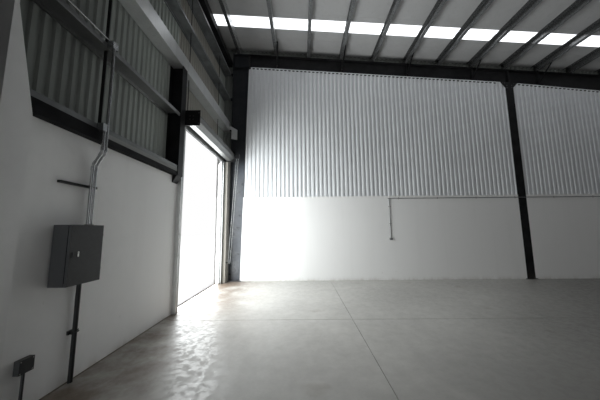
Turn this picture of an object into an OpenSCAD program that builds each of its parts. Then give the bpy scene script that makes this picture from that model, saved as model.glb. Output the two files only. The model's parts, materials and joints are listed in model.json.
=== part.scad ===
// End bay of a factory hall: portal frames, plastered dado walls, ribbed sheet walls and roof.
// The gable wall closes the +Y side and the door wall closes the -X side.
// The near side (-Y) and the low side (+X) are left open, as a cut through the hall.
// Inside the source, x = 0 is the plaster face of the door wall, y = 0 is the near frame
// line and z = 0 is the floor surface. place() moves all of it to the bottom centre.

/* [Hall] */
// Width of each of the two bays along the gable wall
bay_w = 9400; // [8000:100:10600]
// Depth from the near frame line to the gable frame line
bay_d = 6900; // [6700:100:7600]
// Height of the rafter's top flange above the floor, at the door wall
eave_z = 7750; // [7500:50:8200]
// Fall of the roof over one metre of width
roof_fall = 77; // [50:1:90]
// Thickness of the floor slab
slab_t = 200; // [150:10:300]
// Spacing of the saw cuts in the floor
saw_gap = 3384; // [2500:1:4500]
// Width of a saw cut
saw_w = 8; // [4:1:14]
// Depth of a saw cut
saw_d = 14; // [6:1:40]

/* [Dado walls] */
// Height of the plastered dado walls
dado_h = 2650; // [2400:10:2700]
// Clearance between pieces that meet the tapered or sloping steel
steel_gap = 0.3; // [0.2:0.1:1]
// Thickness of the door wall's dado
door_dado_t = 150; // [120:5:155]
// Thickness of the gable wall's dado
back_dado_t = 200; // [150:5:200]
// Near edge of the plaster pier from the near frame line
pier_y = 506; // [320:2:600]
// Width of the plaster pier along the wall
pier_w = 226; // [180:2:300]
// Projection of the plaster pier from the dado face
pier_d = 250; // [200:5:300]
// Height at which the pier's far side starts to lean back
pier_kink_z = 2550; // [2300:10:2650]
// Height at which the pier is down to its narrow top
pier_neck_z = 3400; // [3000:10:3500]
// Width of the pier's narrow top
pier_neck_w = 34; // [24:2:60]
// Height of the pier
pier_h = 3700; // [3550:10:3800]

/* [Portal frames] */
// Flange width of columns and rafters
flange_w = 200; // [160:5:200]
// Flange thickness
flange_t = 14; // [8:1:20]
// Web thickness
web_t = 10; // [6:1:16]
// Distance from the dado face to the column's outer flange
col_gap = 170; // [165:5:200]
// Distance from the dado face to the first grid line
grid_x = 240; // [220:10:300]
// Depth of a column at its foot
col_foot = 375; // [300:5:450]
// Depth of the door wall's columns at the head
col_head = 550; // [480:5:650]
// Depth of the low side's columns at the head
low_head = 780; // [650:5:900]
// Depth of the rafter from the door wall to the gable post
rafter_d = 480; // [400:5:560]
// Depth of the rafter where it meets the low column
knee_d = 775; // [600:5:900]
// Thickness of the rafter's bolted end plates
end_plate_t = 20; // [12:1:30]
// Drop of the end plates below the rafter
end_plate_drop = 60; // [30:5:90]
// Thickness of base plates
base_t = 20; // [12:1:30]
// Margin of base plates round a column
base_edge = 40; // [20:5:60]
// Flange width of the gable post
post_w = 260; // [220:5:300]
// Flange thickness of the gable post
post_ft = 12; // [8:1:16]
// Width of the gable post's head gusset
gusset_w = 570; // [400:10:700]
// Height of the gable post's head gusset
gusset_h = 165; // [100:5:260]

/* [Purlins and girts] */
// Depth of the purlins
purlin_d = 250; // [200:5:280]
// Flange width of the purlins
purlin_b = 100; // [60:5:110]
// Steel thickness of the purlins and girts
cee_t = 3; // [2:0.5:5]
// Lip of the purlins and girts
cee_lip = 20; // [12:1:28]
// Thickness of the seats under the purlins
seat_t = 20; // [10:1:30]
// Distance of the eave purlin from the dado face
purlin_eave = 360; // [300:10:500]
// Distance of the first regular purlin from the dado face
purlin_first = 1665; // [1400:5:1700]
// Spacing of the purlins
purlin_gap = 1125; // [1000:5:1250]
// Leg of the fly braces
brace_leg = 50; // [40:1:70]
// Thickness of the fly braces
brace_t = 5; // [3:0.5:8]
// Thickness of the rafters' web stiffeners
stiff_t = 8; // [6:1:12]
// Depth of the door wall's girts
girt_d = 250; // [220:5:260]
// Height of a girt's flanges
girt_b = 60; // [45:5:80]
// Height of the dark beam that lies on the dado
sill_h = 135; // [100:5:160]
// Underside of the second girt
girt2_z = 3855; // [3720:5:3900]
// Underside of the beam over the door
head_z = 4937; // [4700:5:5100]
// Height of the beam over the door
head_h = 288; // [200:4:320]
// Wall of the sill and head beams
box_t = 6; // [4:0.5:10]
// Underside of the girt over the head beam
girt4_z = 6050; // [5700:10:6250]
// Underside of the topmost girt
girt5_z = 6960; // [6700:10:7050]
// Height of the eave strut
strut_h = 200; // [120:10:260]
// Drop from the rafter's top to the eave strut's top
strut_drop = 200; // [150:10:240]
// Diameter of the sag rods
sag_dia = 16; // [10:1:24]

/* [Ribbed sheet] */
// Spacing of the ribs of the gable wall's sheets
back_pitch = 138; // [110:1:180]
// Spacing of the ribs of the door wall's sheets
door_pitch = 119; // [100:1:160]
// Depth of the wall sheets' ribs
rib_d = 26; // [16:1:30]
// Width of the door wall sheets' rib crests
rib_crest = 38; // [20:1:50]
// Width of the gable wall sheets' rib crests
liner_crest = 54; // [30:1:60]
// Run of the wall sheets' rib flanks
rib_flank = 16; // [8:1:24]
// Spacing of the roof sheets' ribs
roof_pitch = 205; // [160:5:300]
// Depth of the roof sheets' ribs
roof_rib_d = 38; // [25:1:50]
// Thickness of the roof panels between their ribs
panel_t = 30; // [20:5:60]
// Spacing of the joints between roof panels
panel_w = 1000; // [600:50:1200]
// Thickness of all sheets
sheet_t = 3; // [2:0.5:5]
// Distance of the skylight strip's near edge from the near frame line
sky_y = 5500; // [4800:10:5600]
// Width of the skylight strip
sky_w = 420; // [300:10:600]
// Overhang of the roof sheets past the near frame's flanges
eave_over = 40; // [20:5:50]

/* [Shutter doorway] */
// Width of the wall stub between the doorway and the gable wall
stub_w = 350; // [300:10:420]
// Projection of the plastered pier in front of the stub
stub_d = 165; // [110:5:165]
// Width of the doorway between the walls
door_w = 2690; // [2400:10:2900]
// Height of the doorway under the lintel
door_h = 3900; // [3860:10:3930]
// Height of the lintel
lintel_h = 100; // [60:5:160]
// Width of the post beside the doorway
dpost_w = 190; // [140:5:200]
// Distance of that post's inner face from the wall face
dpost_in = 110; // [100:5:150]
// Gap between that post and the doorway's edge
dpost_gap = 90; // [80:5:200]
// Width of the shutter guides, along the wall
guide_w = 100; // [80:2:120]
// Depth of the shutter guides, from the wall
guide_d = 70; // [68:1:110]
// Height of the shutter guides
guide_h = 3750; // [3500:10:3800]
// Radius of the rolled shutter
roll_r = 170; // [140:2:180]
// Distance of the roll's axis from the wall face
roll_x = 220; // [200:2:260]
// Height of the roll's axis
roll_z = 3930; // [3900:5:4050]
// Thickness of the roll's end plates
side_plate_t = 8; // [5:1:12]
// Height of the roll's end plates
side_plate_h = 350; // [300:5:400]
// Length of the roll's end plates, from the wall
side_plate_l = 400; // [390:5:450]
// Diameter of the roll's shaft
shaft_dia = 60; // [40:2:80]
// Height of the shutter's bottom bar
bar_h = 100; // [60:5:120]
// Drop of the bottom bar's underside below the lintel
bar_drop = 175; // [160:5:200]
// Diameter of the hand chain
chain_dia = 9; // [6:1:14]
// Half the distance between the hand chain's strands
chain_loop_r = 30; // [22:1:40]
// Height of the hand chain's lower end
chain_z = 620; // [500:10:900]

/* [Cabinet and conduits] */
// Width of the electrical cabinet, along the wall
cab_w = 410; // [350:5:450]
// Height of the electrical cabinet
cab_h = 610; // [500:10:700]
// Depth of the electrical cabinet with its door
cab_d = 180; // [150:5:220]
// Distance of the cabinet's near side from the near frame line
cab_y = 1245; // [1100:5:1400]
// Underside of the cabinet
cab_z = 1035; // [900:5:1200]
// Stand-off of the cabinet from the wall
cab_off = 20; // [12:1:30]
// Thickness of the cabinet's steel
cab_t = 3; // [2:0.5:4]
// Thickness of the cabinet's door
cab_door_t = 22; // [16:1:30]
// Gap between the cabinet and its door
cab_gap = 8; // [7.5:0.5:12]
// Distance of the hinge axis from the cabinet's side
hinge_out = 8; // [8:0.5:9]
// Diameter of the hinge pins
hinge_pin = 6; // [4:0.5:8]
// Diameter of the conduits over the cabinet
pipe_dia = 34; // [25:1:36]
// Diameter of the feed conduit under the cabinet
feed_dia = 45; // [32:1:50]
// Height of the feed conduit's clamp
clamp_z = 507; // [300:1:800]
// Depth of the strut across the conduits
strut_d = 41; // [20:1:50]
// Height of the strut across the conduits
strut_z = 2092; // [2000:1:2200]
// Drop of the gable wall's conduit below the dado's top
back_pipe_drop = 85; // [30:5:200]
// Diameter of the conduit on the gable wall
back_pipe_dia = 22; // [16:1:30]
// Distance of the drop on the gable wall from the door wall's face
drop_x = 5340; // [4500:10:6500]
// Height of the small box's underside on the gable wall
drop_z = 1236; // [1000:2:1400]

/* [Hidden] */
$fn = 32;

fall = roof_fall / 1000;
slope = atan(fall);
half_f = flange_w / 2;
post_x = grid_x + bay_w;
right_x = post_x + bay_w + grid_x / 2;
col_x = col_gap;
near_y = -half_f;
back_y = bay_d - half_f;
back_out = back_y + back_dado_t;
slab_edge = 50;
x_hi = right_x + base_edge;
y_lo = near_y - slab_edge;

// Door wall planes: girts lie between girt_out and girt_in, the sheets outside girt_out.
girt_out = -155;
girt_in = girt_out + girt_d;
clad_crest = girt_out - sheet_t - rib_d;
x_lo = clad_crest - sheet_t;

// Gable wall planes: liner behind the post's flange, girts, then the outer cladding.
liner_front = back_y + post_ft;
liner_back = liner_front + rib_d + sheet_t;
back_girt_out = back_out;
back_crest = back_girt_out + sheet_t + rib_d;
y_hi = back_crest + sheet_t;
mid_x = (x_lo + x_hi) / 2;
mid_y = (y_lo + y_hi) / 2;

// Top and underside of the rafter over x, and the inner faces of the columns over z.
low_knee_x = right_x - low_head;
function top_z(x) = eave_z - fall * x;
function raf_z(x) = top_z(x) - rafter_d
  - (x > post_x ? (knee_d - rafter_d) * (x - post_x) / (low_knee_x - post_x) : 0);
high_knee_x = col_x + col_head;
high_knee_z = raf_z(high_knee_x);
low_knee_z = raf_z(low_knee_x);
function high_in(z) = col_x + col_foot + (col_head - col_foot) * z / high_knee_z;
function low_in(z) = right_x - col_foot - (low_head - col_foot) * z / low_knee_z;
function skin_z(x) = top_z(x) + (seat_t + purlin_d) / cos(slope);

// Purlin positions along x: eave purlin, regular ones, and the one at the low eave.
low_eave_x = right_x - 100;
purlin_n = floor((low_eave_x - purlin_first - 400) / purlin_gap) + 1;
purlin_xs = concat([purlin_eave], [for (i = [0:purlin_n - 1]) purlin_first + i * purlin_gap], [low_eave_x]);
brace_xs = [for (i = [0:2:purlin_n - 1]) purlin_first + i * purlin_gap];
skin_w = seat_t + purlin_d;
roof_y0 = near_y - eave_over;

// Doorway edges along y, and the head beam's end at the gable wall.
door_y1 = back_y - stub_w;
door_y0 = door_y1 - door_w;
dpost_y1 = door_y0 - dpost_gap;
dpost_y0 = dpost_y1 - dpost_w;
guide_y0 = door_y0 - guide_w / 2;
guide_y1 = door_y1 + guide_w / 2;
jamb_w = 60;
shoe_up = 40;
shoe_down = 138;
hanger_w = 40;
hanger_y = cab_y + cab_w + 73;
back_pipe_z = dado_h - back_pipe_drop;
pier_girt = pier_y + pier_w;

module place() {
  translate([-mid_x, -mid_y, slab_t]) children();
}

// A section drawn in (x, z), run along y.
module along_y(y0, y1) {
  translate([0, y1, 0]) rotate([90, 0, 0]) linear_extrude(height = y1 - y0) children();
}

// A section drawn in (y, z), run along x.
module along_x(x0, x1) {
  translate([x0, 0, 0]) rotate([90, 0, 90]) linear_extrude(height = x1 - x0) children();
}

// Block between two corners.
module block(a, b) {
  translate(a) cube([b[0] - a[0], b[1] - a[1], b[2] - a[2]]);
}

// Round bar between two points.
module rod(p, q, d) {
  v = q - p;
  l = norm(v);
  translate(p) rotate([0, acos(v[2] / l), atan2(v[1], v[0])]) cylinder(d = d, h = l);
}

// The roof's own frame: u down the slope, y along the hall, w square to the roof.
module roof_frame() {
  translate([0, 0, eave_z]) rotate([0, slope, 0]) children();
}
function along_u(x) = x / cos(slope);

// Lipped channel, opening towards +x.
module cee(b, h) {
  t = cee_t;
  l = cee_lip;
  polygon([[0, 0], [b, 0], [b, l], [b - t, l], [b - t, t], [t, t], [t, h - t],
    [b - t, h - t], [b - t, h - l], [b, h - l], [b, h], [0, h]]);
}

// Lipped channel lying on its web, its flanges pointing down.
module toe_down(d, h) {
  t = cee_t;
  l = cee_lip;
  polygon([[0, h], [d, h], [d, 0], [d - l, 0], [d - l, t], [d - t, t], [d - t, h - t],
    [t, h - t], [t, t], [l, t], [l, 0], [0, 0]]);
}

// Rectangular hollow section.
module box_section(w, h, t) {
  difference() {
    square([w, h]);
    translate([t, t]) square([w - 2 * t, h - 2 * t]);
  }
}

// Outline of a ribbed sheet from x = 0 to x = len, its pans on y = 0, its ribs towards +y.
function rib_line(len, pitch, crest, flank, d) =
  let (n = floor(len / pitch), m = (len - n * pitch) / 2, a = (pitch - crest) / 2 - flank)
  concat([[0, 0]],
    [for (i = [0:n - 1], k = [0:3])
      [m + i * pitch + [a, a + flank, a + flank + crest, a + 2 * flank + crest][k], [0, d, d, 0][k]]],
    [[len, 0]]);

module ribbed(len, pitch, crest, flank, d) {
  p = rib_line(len, pitch, crest, flank, d);
  n = len(p);
  polygon(concat(p, [for (i = [n - 1:-1:0]) p[i] + [0, sheet_t]]));
}

module wall_sheet(len, pitch, crest) {
  ribbed(len, pitch, crest, rib_flank, rib_d);
}

// Floor and dado walls

module floor_slab() {
  color([0.62, 0.61, 0.58]) place() difference() {
    block([-door_dado_t, y_lo, -slab_t], [x_hi, back_out, 0]);
    for (i = [1:floor((x_hi - 200) / saw_gap)])
      block([i * saw_gap - saw_w / 2, y_lo - 1, -saw_d], [i * saw_gap + saw_w / 2, back_y - 150, 1]);
    for (j = [1:floor((back_y - 200) / saw_gap)])
      block([100, j * saw_gap - saw_w / 2, -saw_d], [x_hi + 1, j * saw_gap + saw_w / 2, 1]);
  }
}

module door_wall_dado() {
  color([0.88, 0.88, 0.87]) place() block([-door_dado_t, near_y, 0], [0, door_y0, dado_h]);
}

// Stub beyond the doorway, up to the lintel, with a plastered pier in front of it.
module door_wall_stub() {
  color([0.88, 0.88, 0.87]) place() difference() {
    union() {
      block([-door_dado_t, door_y1, 0], [0, back_y, door_h]);
      block([0, guide_y1, 0], [stub_d, back_y, door_h]);
    }
    base_plate(col_x, col_x + col_foot, bay_d);
  }
}

module plaster_pier() {
  color([0.80, 0.80, 0.80]) place() difference() {
    along_x(0, pier_d) polygon([
      [pier_y, 0], [pier_y + pier_w, 0], [pier_y + pier_w, pier_kink_z],
      [pier_y + pier_neck_w, pier_neck_z], [pier_y + pier_neck_w, pier_h], [pier_y, pier_h]]);
    block([-1, pier_y - 1, dado_h], [girt_in, pier_girt + 1, pier_h + 1]);
  }
}

// Gable dado from the door wall's outer face to the post, with the column let in flush.
module back_dado_left() {
  color([0.90, 0.90, 0.90]) place() difference() {
    union() {
      block([-door_dado_t, back_y, 0], [col_x - steel_gap, back_out, dado_h]);
      along_y(back_y, back_out) polygon([[high_in(0) + steel_gap, 0], [post_x - post_w / 2, 0],
        [post_x - post_w / 2, dado_h], [high_in(dado_h) + steel_gap, dado_h]]);
    }
    base_plate(col_x, col_x + col_foot, bay_d);
    post_base();
  }
}

module back_dado_right() {
  color([0.90, 0.90, 0.90]) place() difference() {
    translate([right_x, 0, 0]) along_y(back_y, back_out) polygon([[post_x + post_w / 2 - right_x, 0],
      [low_in(0) - right_x - steel_gap, 0], [low_in(dado_h) - right_x - steel_gap, dado_h],
      [post_x + post_w / 2 - right_x, dado_h]]);
    base_plate(right_x - col_foot, right_x, bay_d);
    post_base();
  }
}

// Portal frames

// Base plate under a column between two x values, on a frame line.
module base_plate(x0, x1, yc) {
  block([x0 - base_edge, yc - half_f - base_edge, 0], [x1 + base_edge, yc + half_f, base_t]);
}

module post_base() {
  block([post_x - post_w / 2 - base_edge, back_y - base_edge, 0],
    [post_x + post_w / 2 + base_edge, back_out, base_t]);
}

// Tapered column: vertical outer flange, leaning inner flange, square head for the rafter.
// foot and head are the inner flange's distances from out, negative on the low side.
module column(yc, out, foot, head, knee_z) {
  s = sign(head);
  a = foot + (head - foot) * base_t / knee_z;
  f = s * flange_t;
  z0 = top_z(out);
  z1 = top_z(out + head);
  h = flange_t / 2;
  translate([out, yc, 0]) {
    along_y(-web_t / 2, web_t / 2) polygon([[0, base_t], [a, base_t], [head, knee_z], [head, z1 - h],
      [0, z0 - h]]);
    along_y(-half_f, half_f) {
      polygon([[0, base_t], [f, base_t], [f, z0 - f * fall - h], [0, z0 - h]]);
      polygon([[a, base_t], [a - f, base_t], [head - f, knee_z], [head - f, z1 + f * fall - h], [head, z1 - h],
        [head, knee_z]]);
      polygon([[0, z0], [head, z1], [head, z1 - flange_t], [0, z0 - flange_t]]);
      polygon([[0, knee_z], [head, knee_z], [head, knee_z + flange_t], [0, knee_z + flange_t]]);
    }
  }
  base_plate(min(out, out + foot), max(out, out + foot), yc);
}

// Column by the door wall, with cleats out to the girts at the given heights.
module high_column(yc, levels) {
  column(yc, col_x, col_foot, col_head, high_knee_z);
  for (z = levels)
    block([girt_in, yc - 60, z + 8], [col_x, yc + 60, z + 48]);
}

module low_column(yc) {
  column(yc, right_x, -col_foot, -low_head, low_knee_z);
}

// Rafter with parallel flanges up to the post line and a deepening tail to the low knee.
module rafter(yc) {
  x0 = high_knee_x;
  x1 = low_knee_x;
  f = flange_t;
  translate([0, yc - web_t / 2, 0]) along_y(0, web_t) polygon([[x0, raf_z(x0)], [post_x, raf_z(post_x)],
    [x1, raf_z(x1)], [x1, top_z(x1)], [x0, top_z(x0)]]);
  translate([0, yc - half_f, 0]) {
    along_y(0, flange_w) polygon([[x0, top_z(x0)], [x1, top_z(x1)], [x1, top_z(x1) - f], [x0, top_z(x0) - f]]);
    along_y(0, flange_w) polygon([[x0, raf_z(x0)], [post_x, raf_z(post_x)], [x1, raf_z(x1)],
      [x1, raf_z(x1) + f], [post_x, raf_z(post_x) + f], [x0, raf_z(x0) + f]]);
    for (e = [[x0, x0 + end_plate_t], [x1 - end_plate_t, x1]])
      along_y(0, flange_w) polygon([[e[0], raf_z(e[0]) - end_plate_drop], [e[1], raf_z(e[0]) - end_plate_drop],
        [e[1], top_z(e[1]) - f / 2], [e[0], top_z(e[0]) - f / 2]]);
  }
  for (x = concat(brace_xs, [post_x])) {
    a = x + purlin_b / 2 * cos(slope);
    b = a - fall * (top_z(a) - raf_z(a - fall * (top_z(a) - raf_z(a))));
    translate([0, yc - half_f, 0]) along_y(0, flange_w) polygon([[b - stiff_t, raf_z(b) + 1],
      [b, raf_z(b) + 1], [a, top_z(a) - 1], [a - stiff_t, top_z(a) - 1]]);
  }
}

module corner_column() {
  color([0.09, 0.09, 0.10]) place() high_column(bay_d, [head_z, girt4_z, girt5_z]);
}

module right_column() {
  color([0.09, 0.09, 0.10]) place() low_column(bay_d);
}

module near_left_column() {
  color([0.09, 0.09, 0.10]) place() high_column(0, [dado_h + sill_h, girt2_z, head_z, girt4_z, girt5_z]);
}

module near_right_column() {
  color([0.09, 0.09, 0.10]) place() low_column(0);
}

module back_rafter() {
  color([0.09, 0.09, 0.10]) place() rafter(bay_d);
}

module near_rafter() {
  color([0.09, 0.09, 0.10]) place() rafter(0);
}

// Gable post, its inner flange flush with the plaster, gussets under the rafter.
module gable_post() {
  w = post_w / 2;
  z1 = raf_z(post_x + w) - 14;
  color([0.09, 0.09, 0.10]) place() {
    post_base();
    block([post_x - w, back_y, base_t], [post_x + w, back_y + post_ft, z1]);
    block([post_x - w, back_out - post_ft, base_t], [post_x + w, back_out, z1]);
    block([post_x - web_t / 2, back_y, base_t], [post_x + web_t / 2, back_out, z1]);
    along_y(back_y, back_y + post_ft) polygon([[post_x - w, z1 - gusset_h], [post_x + w, z1 - gusset_h],
      [post_x + gusset_w / 2, raf_z(post_x + gusset_w / 2)], [post_x, raf_z(post_x)],
      [post_x - gusset_w / 2, raf_z(post_x - gusset_w / 2)]]);
    along_y(back_y, back_out) polygon([[post_x - w, z1 - post_ft], [post_x + w, z1 - post_ft],
      [post_x + w, raf_z(post_x + w) - 1], [post_x, raf_z(post_x) - 1], [post_x - w, raf_z(post_x - w) - 1]]);
  }
}

// Roof

// Purlins with their open side up the slope.
module purlins() {
  color([0.45, 0.46, 0.47]) place() roof_frame() for (x = purlin_xs) {
    u = along_u(x);
    translate([u + purlin_b / 2, 0, seat_t]) mirror([1, 0, 0]) along_y(near_y, back_girt_out - 10)
      cee(purlin_b, purlin_d);
    for (y = [0, bay_d])
      block([u - purlin_b / 2, y - 60, 0], [u + purlin_b / 2, y + 60, seat_t]);
  }
}

// Angle braces from the rafters' stiffeners up to the purlins' webs, at 45 degrees.
module fly_braces() {
  t = brace_t;
  ends = [[back_y + 60, 135], [half_f - 60, 45]];
  color([0.12, 0.12, 0.13]) place() roof_frame() for (x = brace_xs, e = ends) {
    w0 = (raf_z(x) - top_z(x)) * cos(slope) + 60;
    run = (seat_t + purlin_d / 2 - w0) * sqrt(2);
    translate([along_u(x) + purlin_b / 2 + steel_gap, e[0], w0]) rotate([e[1], 0, 0]) {
      block([0, 0, -brace_leg / 2], [t, run, brace_leg / 2]);
      block([t, 0, -brace_leg / 2], [brace_leg, run, t - brace_leg / 2]);
    }
  }
}

// A profile drawn over y and height, run down the whole slope from y0.
module down_slope(y0) {
  roof_frame() translate([0, y0, skin_w]) rotate([90, 0, 90])
    translate([0, 0, along_u(x_lo + 20)]) linear_extrude(height = along_u(right_x - x_lo - 20)) children();
}

roof_crest = 40;
roof_flank = 22;
first_joint = sky_y + sky_w + 400;

// Insulated panels with a flat underside, ribs on top and a groove at every panel joint.
module roof_panels(y0, y1) {
  p = rib_line(y1 - y0, roof_pitch, roof_crest, roof_flank, roof_rib_d);
  down_slope(y0) difference() {
    polygon(concat([[0, 0]], [for (q = p) q + [0, panel_t]], [[y1 - y0, 0]]));
    for (k = [0:10], y = [first_joint - k * panel_w - y0])
      if (y > 20 && y < y1 - y0 - 20) translate([y - 4, -1]) square([8, 5]);
  }
}

module roof_sheets() {
  color([0.72, 0.72, 0.72]) place() {
    roof_panels(roof_y0, sky_y);
    roof_panels(sky_y + sky_w, back_crest - 1);
  }
}

module skylight() {
  color([0.95, 0.97, 1.0, 0.8]) place() down_slope(sky_y)
    ribbed(sky_w, roof_pitch, roof_crest, roof_flank, roof_rib_d);
}

// Gable wall above the dado

// Region of the gable wall in (x, z) between a lower edge and the rafter's underside.
module gable_bay_left(z0, gap) {
  polygon([[high_in(z0) + gap, z0], [post_x - post_w / 2 - gap, z0],
    [post_x - post_w / 2 - gap, raf_z(post_x - post_w / 2) - gap],
    [high_knee_x + end_plate_t + gap, raf_z(high_knee_x + end_plate_t) - gap],
    [high_knee_x + end_plate_t + gap, high_knee_z - end_plate_drop - 2 * gap],
    [high_in(high_knee_z - end_plate_drop) + gap, high_knee_z - end_plate_drop - 2 * gap]]);
}

module gable_bay_right(z0, gap) {
  polygon([[post_x + post_w / 2 + gap, z0], [low_in(z0) - gap, z0],
    [low_in(low_knee_z - end_plate_drop) - gap, low_knee_z - end_plate_drop - 2 * gap],
    [low_knee_x - end_plate_t - gap, low_knee_z - end_plate_drop - 2 * gap],
    [low_knee_x - end_plate_t - gap, raf_z(low_knee_x - end_plate_t) - gap],
    [post_x + post_w / 2 + gap, raf_z(post_x + post_w / 2) - gap]]);
}

module back_liner() {
  color([0.86, 0.87, 0.88]) place() intersection() {
    translate([0, liner_back, dado_h]) mirror([0, 1, 0])
      linear_extrude(height = eave_z - dado_h) wall_sheet(right_x, back_pitch, liner_crest);
    union() {
      along_y(back_y, back_out) gable_bay_left(dado_h, 1);
      along_y(back_y, back_out) gable_bay_right(dado_h, 1);
    }
  }
}

module back_girt(z, x0, x1) {
  along_x(x0, x1) translate([liner_back, z]) toe_down(back_girt_out - liner_back, girt_b);
}

module back_girts() {
  w = post_w / 2;
  color([0.45, 0.46, 0.47]) place() {
    for (z = [dado_h, girt2_z, head_z])
      back_girt(z, high_in(z + girt_b), post_x - w);
    back_girt(girt4_z, high_in(girt4_z + girt_b), post_x - w);
    for (z = [dado_h, girt2_z, head_z])
      back_girt(z, post_x + w, low_in(z + girt_b));
  }
}

module back_cladding() {
  color([0.36, 0.38, 0.36]) place() intersection() {
    translate([girt_out, back_girt_out, 0]) linear_extrude(height = skin_z(girt_out))
      wall_sheet(right_x - girt_out, back_pitch, liner_crest);
    along_y(back_girt_out - 1, back_crest + 1) polygon([[girt_out, dado_h - 50], [right_x, dado_h - 50],
      [right_x, skin_z(right_x) - 2], [girt_out, skin_z(girt_out) - 2]]);
  }
}

// Door wall above the dado

module door_sheet(y0, y1, z0, z1) {
  translate([girt_out, y0, z0]) rotate([0, 0, 90]) linear_extrude(height = z1 - z0)
    wall_sheet(y1 - y0, door_pitch, rib_crest);
}

door_clad_top = skin_z(girt_out) - 2;

module door_wall_cladding() {
  color([0.36, 0.38, 0.36]) place() {
    door_sheet(near_y, door_y0, dado_h - 50, door_clad_top);
    door_sheet(door_y1, back_girt_out, dado_h - 50, door_clad_top);
  }
}

module over_door_cladding() {
  color([0.36, 0.38, 0.36]) place() door_sheet(door_y0, door_y1, door_h, door_clad_top);
}

module door_girt(z, y0, y1) {
  along_y(y0, y1) translate([girt_out, z]) toe_down(girt_d, girt_b);
}

module sill_beam() {
  color([0.06, 0.06, 0.07]) place() along_y(near_y, dpost_y0)
    translate([girt_out, dado_h]) box_section(girt_d, sill_h, box_t);
}

module dado_girt() {
  color([0.16, 0.17, 0.18]) place() door_girt(dado_h + sill_h, near_y, dpost_y0);
}

module girt_two() {
  color([0.45, 0.46, 0.47]) place() door_girt(girt2_z, near_y, dpost_y0);
}

// Beam over the doorway, with a plate that ties it to the corner column.
module door_head_beam() {
  x0 = girt_in - box_t / 2;
  x1 = col_x + 200;
  z = head_z;
  color([0.50, 0.51, 0.52]) place() {
    along_y(near_y, back_girt_out) translate([girt_out, z]) box_section(girt_d, head_h, box_t);
    along_y(back_y - 12, back_y) polygon([[x0, z + 10], [col_x, z + 10], [col_x, z - 310], [x1, z - 350],
      [x1, z - 5], [x0, z + 165]]);
  }
}

module upper_girts() {
  color([0.20, 0.21, 0.22]) place() {
    door_girt(girt4_z, near_y, back_girt_out);
    door_girt(girt5_z, near_y, back_girt_out);
  }
}

// Rods over the doorway and flat hangers beside it, from the eave strut down from girt to girt.
module sag_rods() {
  x = girt_in - 100;
  upper = [[head_z + head_h, girt4_z + girt_b - cee_t], [girt4_z + girt_b, girt5_z + girt_b - cee_t],
    [girt5_z + girt_b, eave_z - strut_drop - strut_h]];
  color([0.08, 0.08, 0.09]) place() {
    for (y = [door_y0 + 230, door_y1 - 500], r = concat([[door_h + lintel_h, head_z]], upper))
      rod([x, y, r[0]], [x, y, r[1]], sag_dia);
    for (r = concat([[dado_h + sill_h + girt_b, girt2_z + girt_b - cee_t], [girt2_z + girt_b, head_z]], upper))
      block([x - hanger_w, hanger_y - 4, r[0]], [x, hanger_y + 4, r[1]]);
  }
}

module eave_strut() {
  color([0.08, 0.08, 0.09]) place() along_y(near_y, back_girt_out)
    translate([girt_out, eave_z - strut_drop - strut_h]) box_section(girt_d, strut_h, box_t);
}

// Post beside the doorway, standing on the dado, with a gusset down the wall's face.
module door_post() {
  mid = (dpost_y0 + dpost_y1) / 2;
  color([0.08, 0.08, 0.09]) place() {
    block([girt_out, dpost_y0, dado_h], [girt_out + post_ft, dpost_y1, head_z]);
    block([dpost_in - post_ft, dpost_y0, dado_h], [dpost_in, dpost_y1, head_z]);
    block([girt_out, mid - 4, dado_h], [dpost_in, mid + 4, head_z]);
    along_y(dpost_y0, dpost_y1) polygon([[0, dado_h + shoe_up + 10], [dpost_in, dado_h + shoe_up + 10],
      [dpost_in, dado_h + shoe_up], [12, dado_h - shoe_down], [0, dado_h - shoe_down]]);
  }
}

// Lintel resting on the stub, and the jamb stud by the post, behind the shutter.
module door_lintel() {
  color([0.10, 0.10, 0.11]) place() {
    block([girt_out, door_y0, door_h], [0, door_y1 + jamb_w, door_h + lintel_h]);
    block([girt_out, door_y0 - jamb_w, dado_h], [0, door_y0, head_z]);
  }
}

// Channel guides, open towards the doorway.
module guide() {
  t = 5;
  polygon([[0, 0], [guide_d, 0], [guide_d, guide_w], [guide_d - t, guide_w], [guide_d - t, t],
    [t, t], [t, guide_w], [0, guide_w]]);
}

module door_guides() {
  color([0.62, 0.63, 0.62]) place() {
    translate([0, guide_y0, 0]) linear_extrude(height = guide_h) guide();
    translate([0, guide_y1, 0]) mirror([0, 1, 0]) linear_extrude(height = guide_h) guide();
  }
}

plate_y0 = guide_y0 + 5;
plate_y1 = guide_y1 - 5;
plate_z0 = roll_z - 190;

module shutter_roll() {
  color([0.66, 0.67, 0.66]) place() {
    translate([roll_x, plate_y0 + side_plate_t + 12, roll_z]) rotate([-90, 0, 0]) rotate([0, 0, 22.5])
      cylinder(r = roll_r, h = plate_y1 - plate_y0 - 2 * side_plate_t - 24, $fn = 8);
    translate([roll_x, plate_y0 + side_plate_t, roll_z]) rotate([-90, 0, 0])
      cylinder(d = shaft_dia, h = plate_y1 - plate_y0 - 2 * side_plate_t);
  }
}

module shutter_end_plates() {
  color([0.07, 0.07, 0.08]) place() for (y = [plate_y0, plate_y1 - side_plate_t])
    block([0, y, plate_z0 + 15], [side_plate_l, y + side_plate_t, plate_z0 + side_plate_h]);
}

module shutter_bottom_bar() {
  x = roll_x - roll_r * cos(22.5) - steel_gap;
  z = door_h - bar_drop;
  color([0.70, 0.71, 0.70]) place() {
    block([x - 40, guide_y0 + 60, z], [x, guide_y1 - 60, z + bar_h]);
    block([x - 8, guide_y0 + 60, z + bar_h], [x, guide_y1 - 60, roll_z]);
  }
}

hoist_y = plate_y1 - side_plate_t / 2;

hoist_z0 = roll_z - 80;
chain_top = [side_plate_l + 70, hoist_y, hoist_z0];
chain_low = [270, door_y1 + 100, chain_z];
peg_dia = 14;

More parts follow.
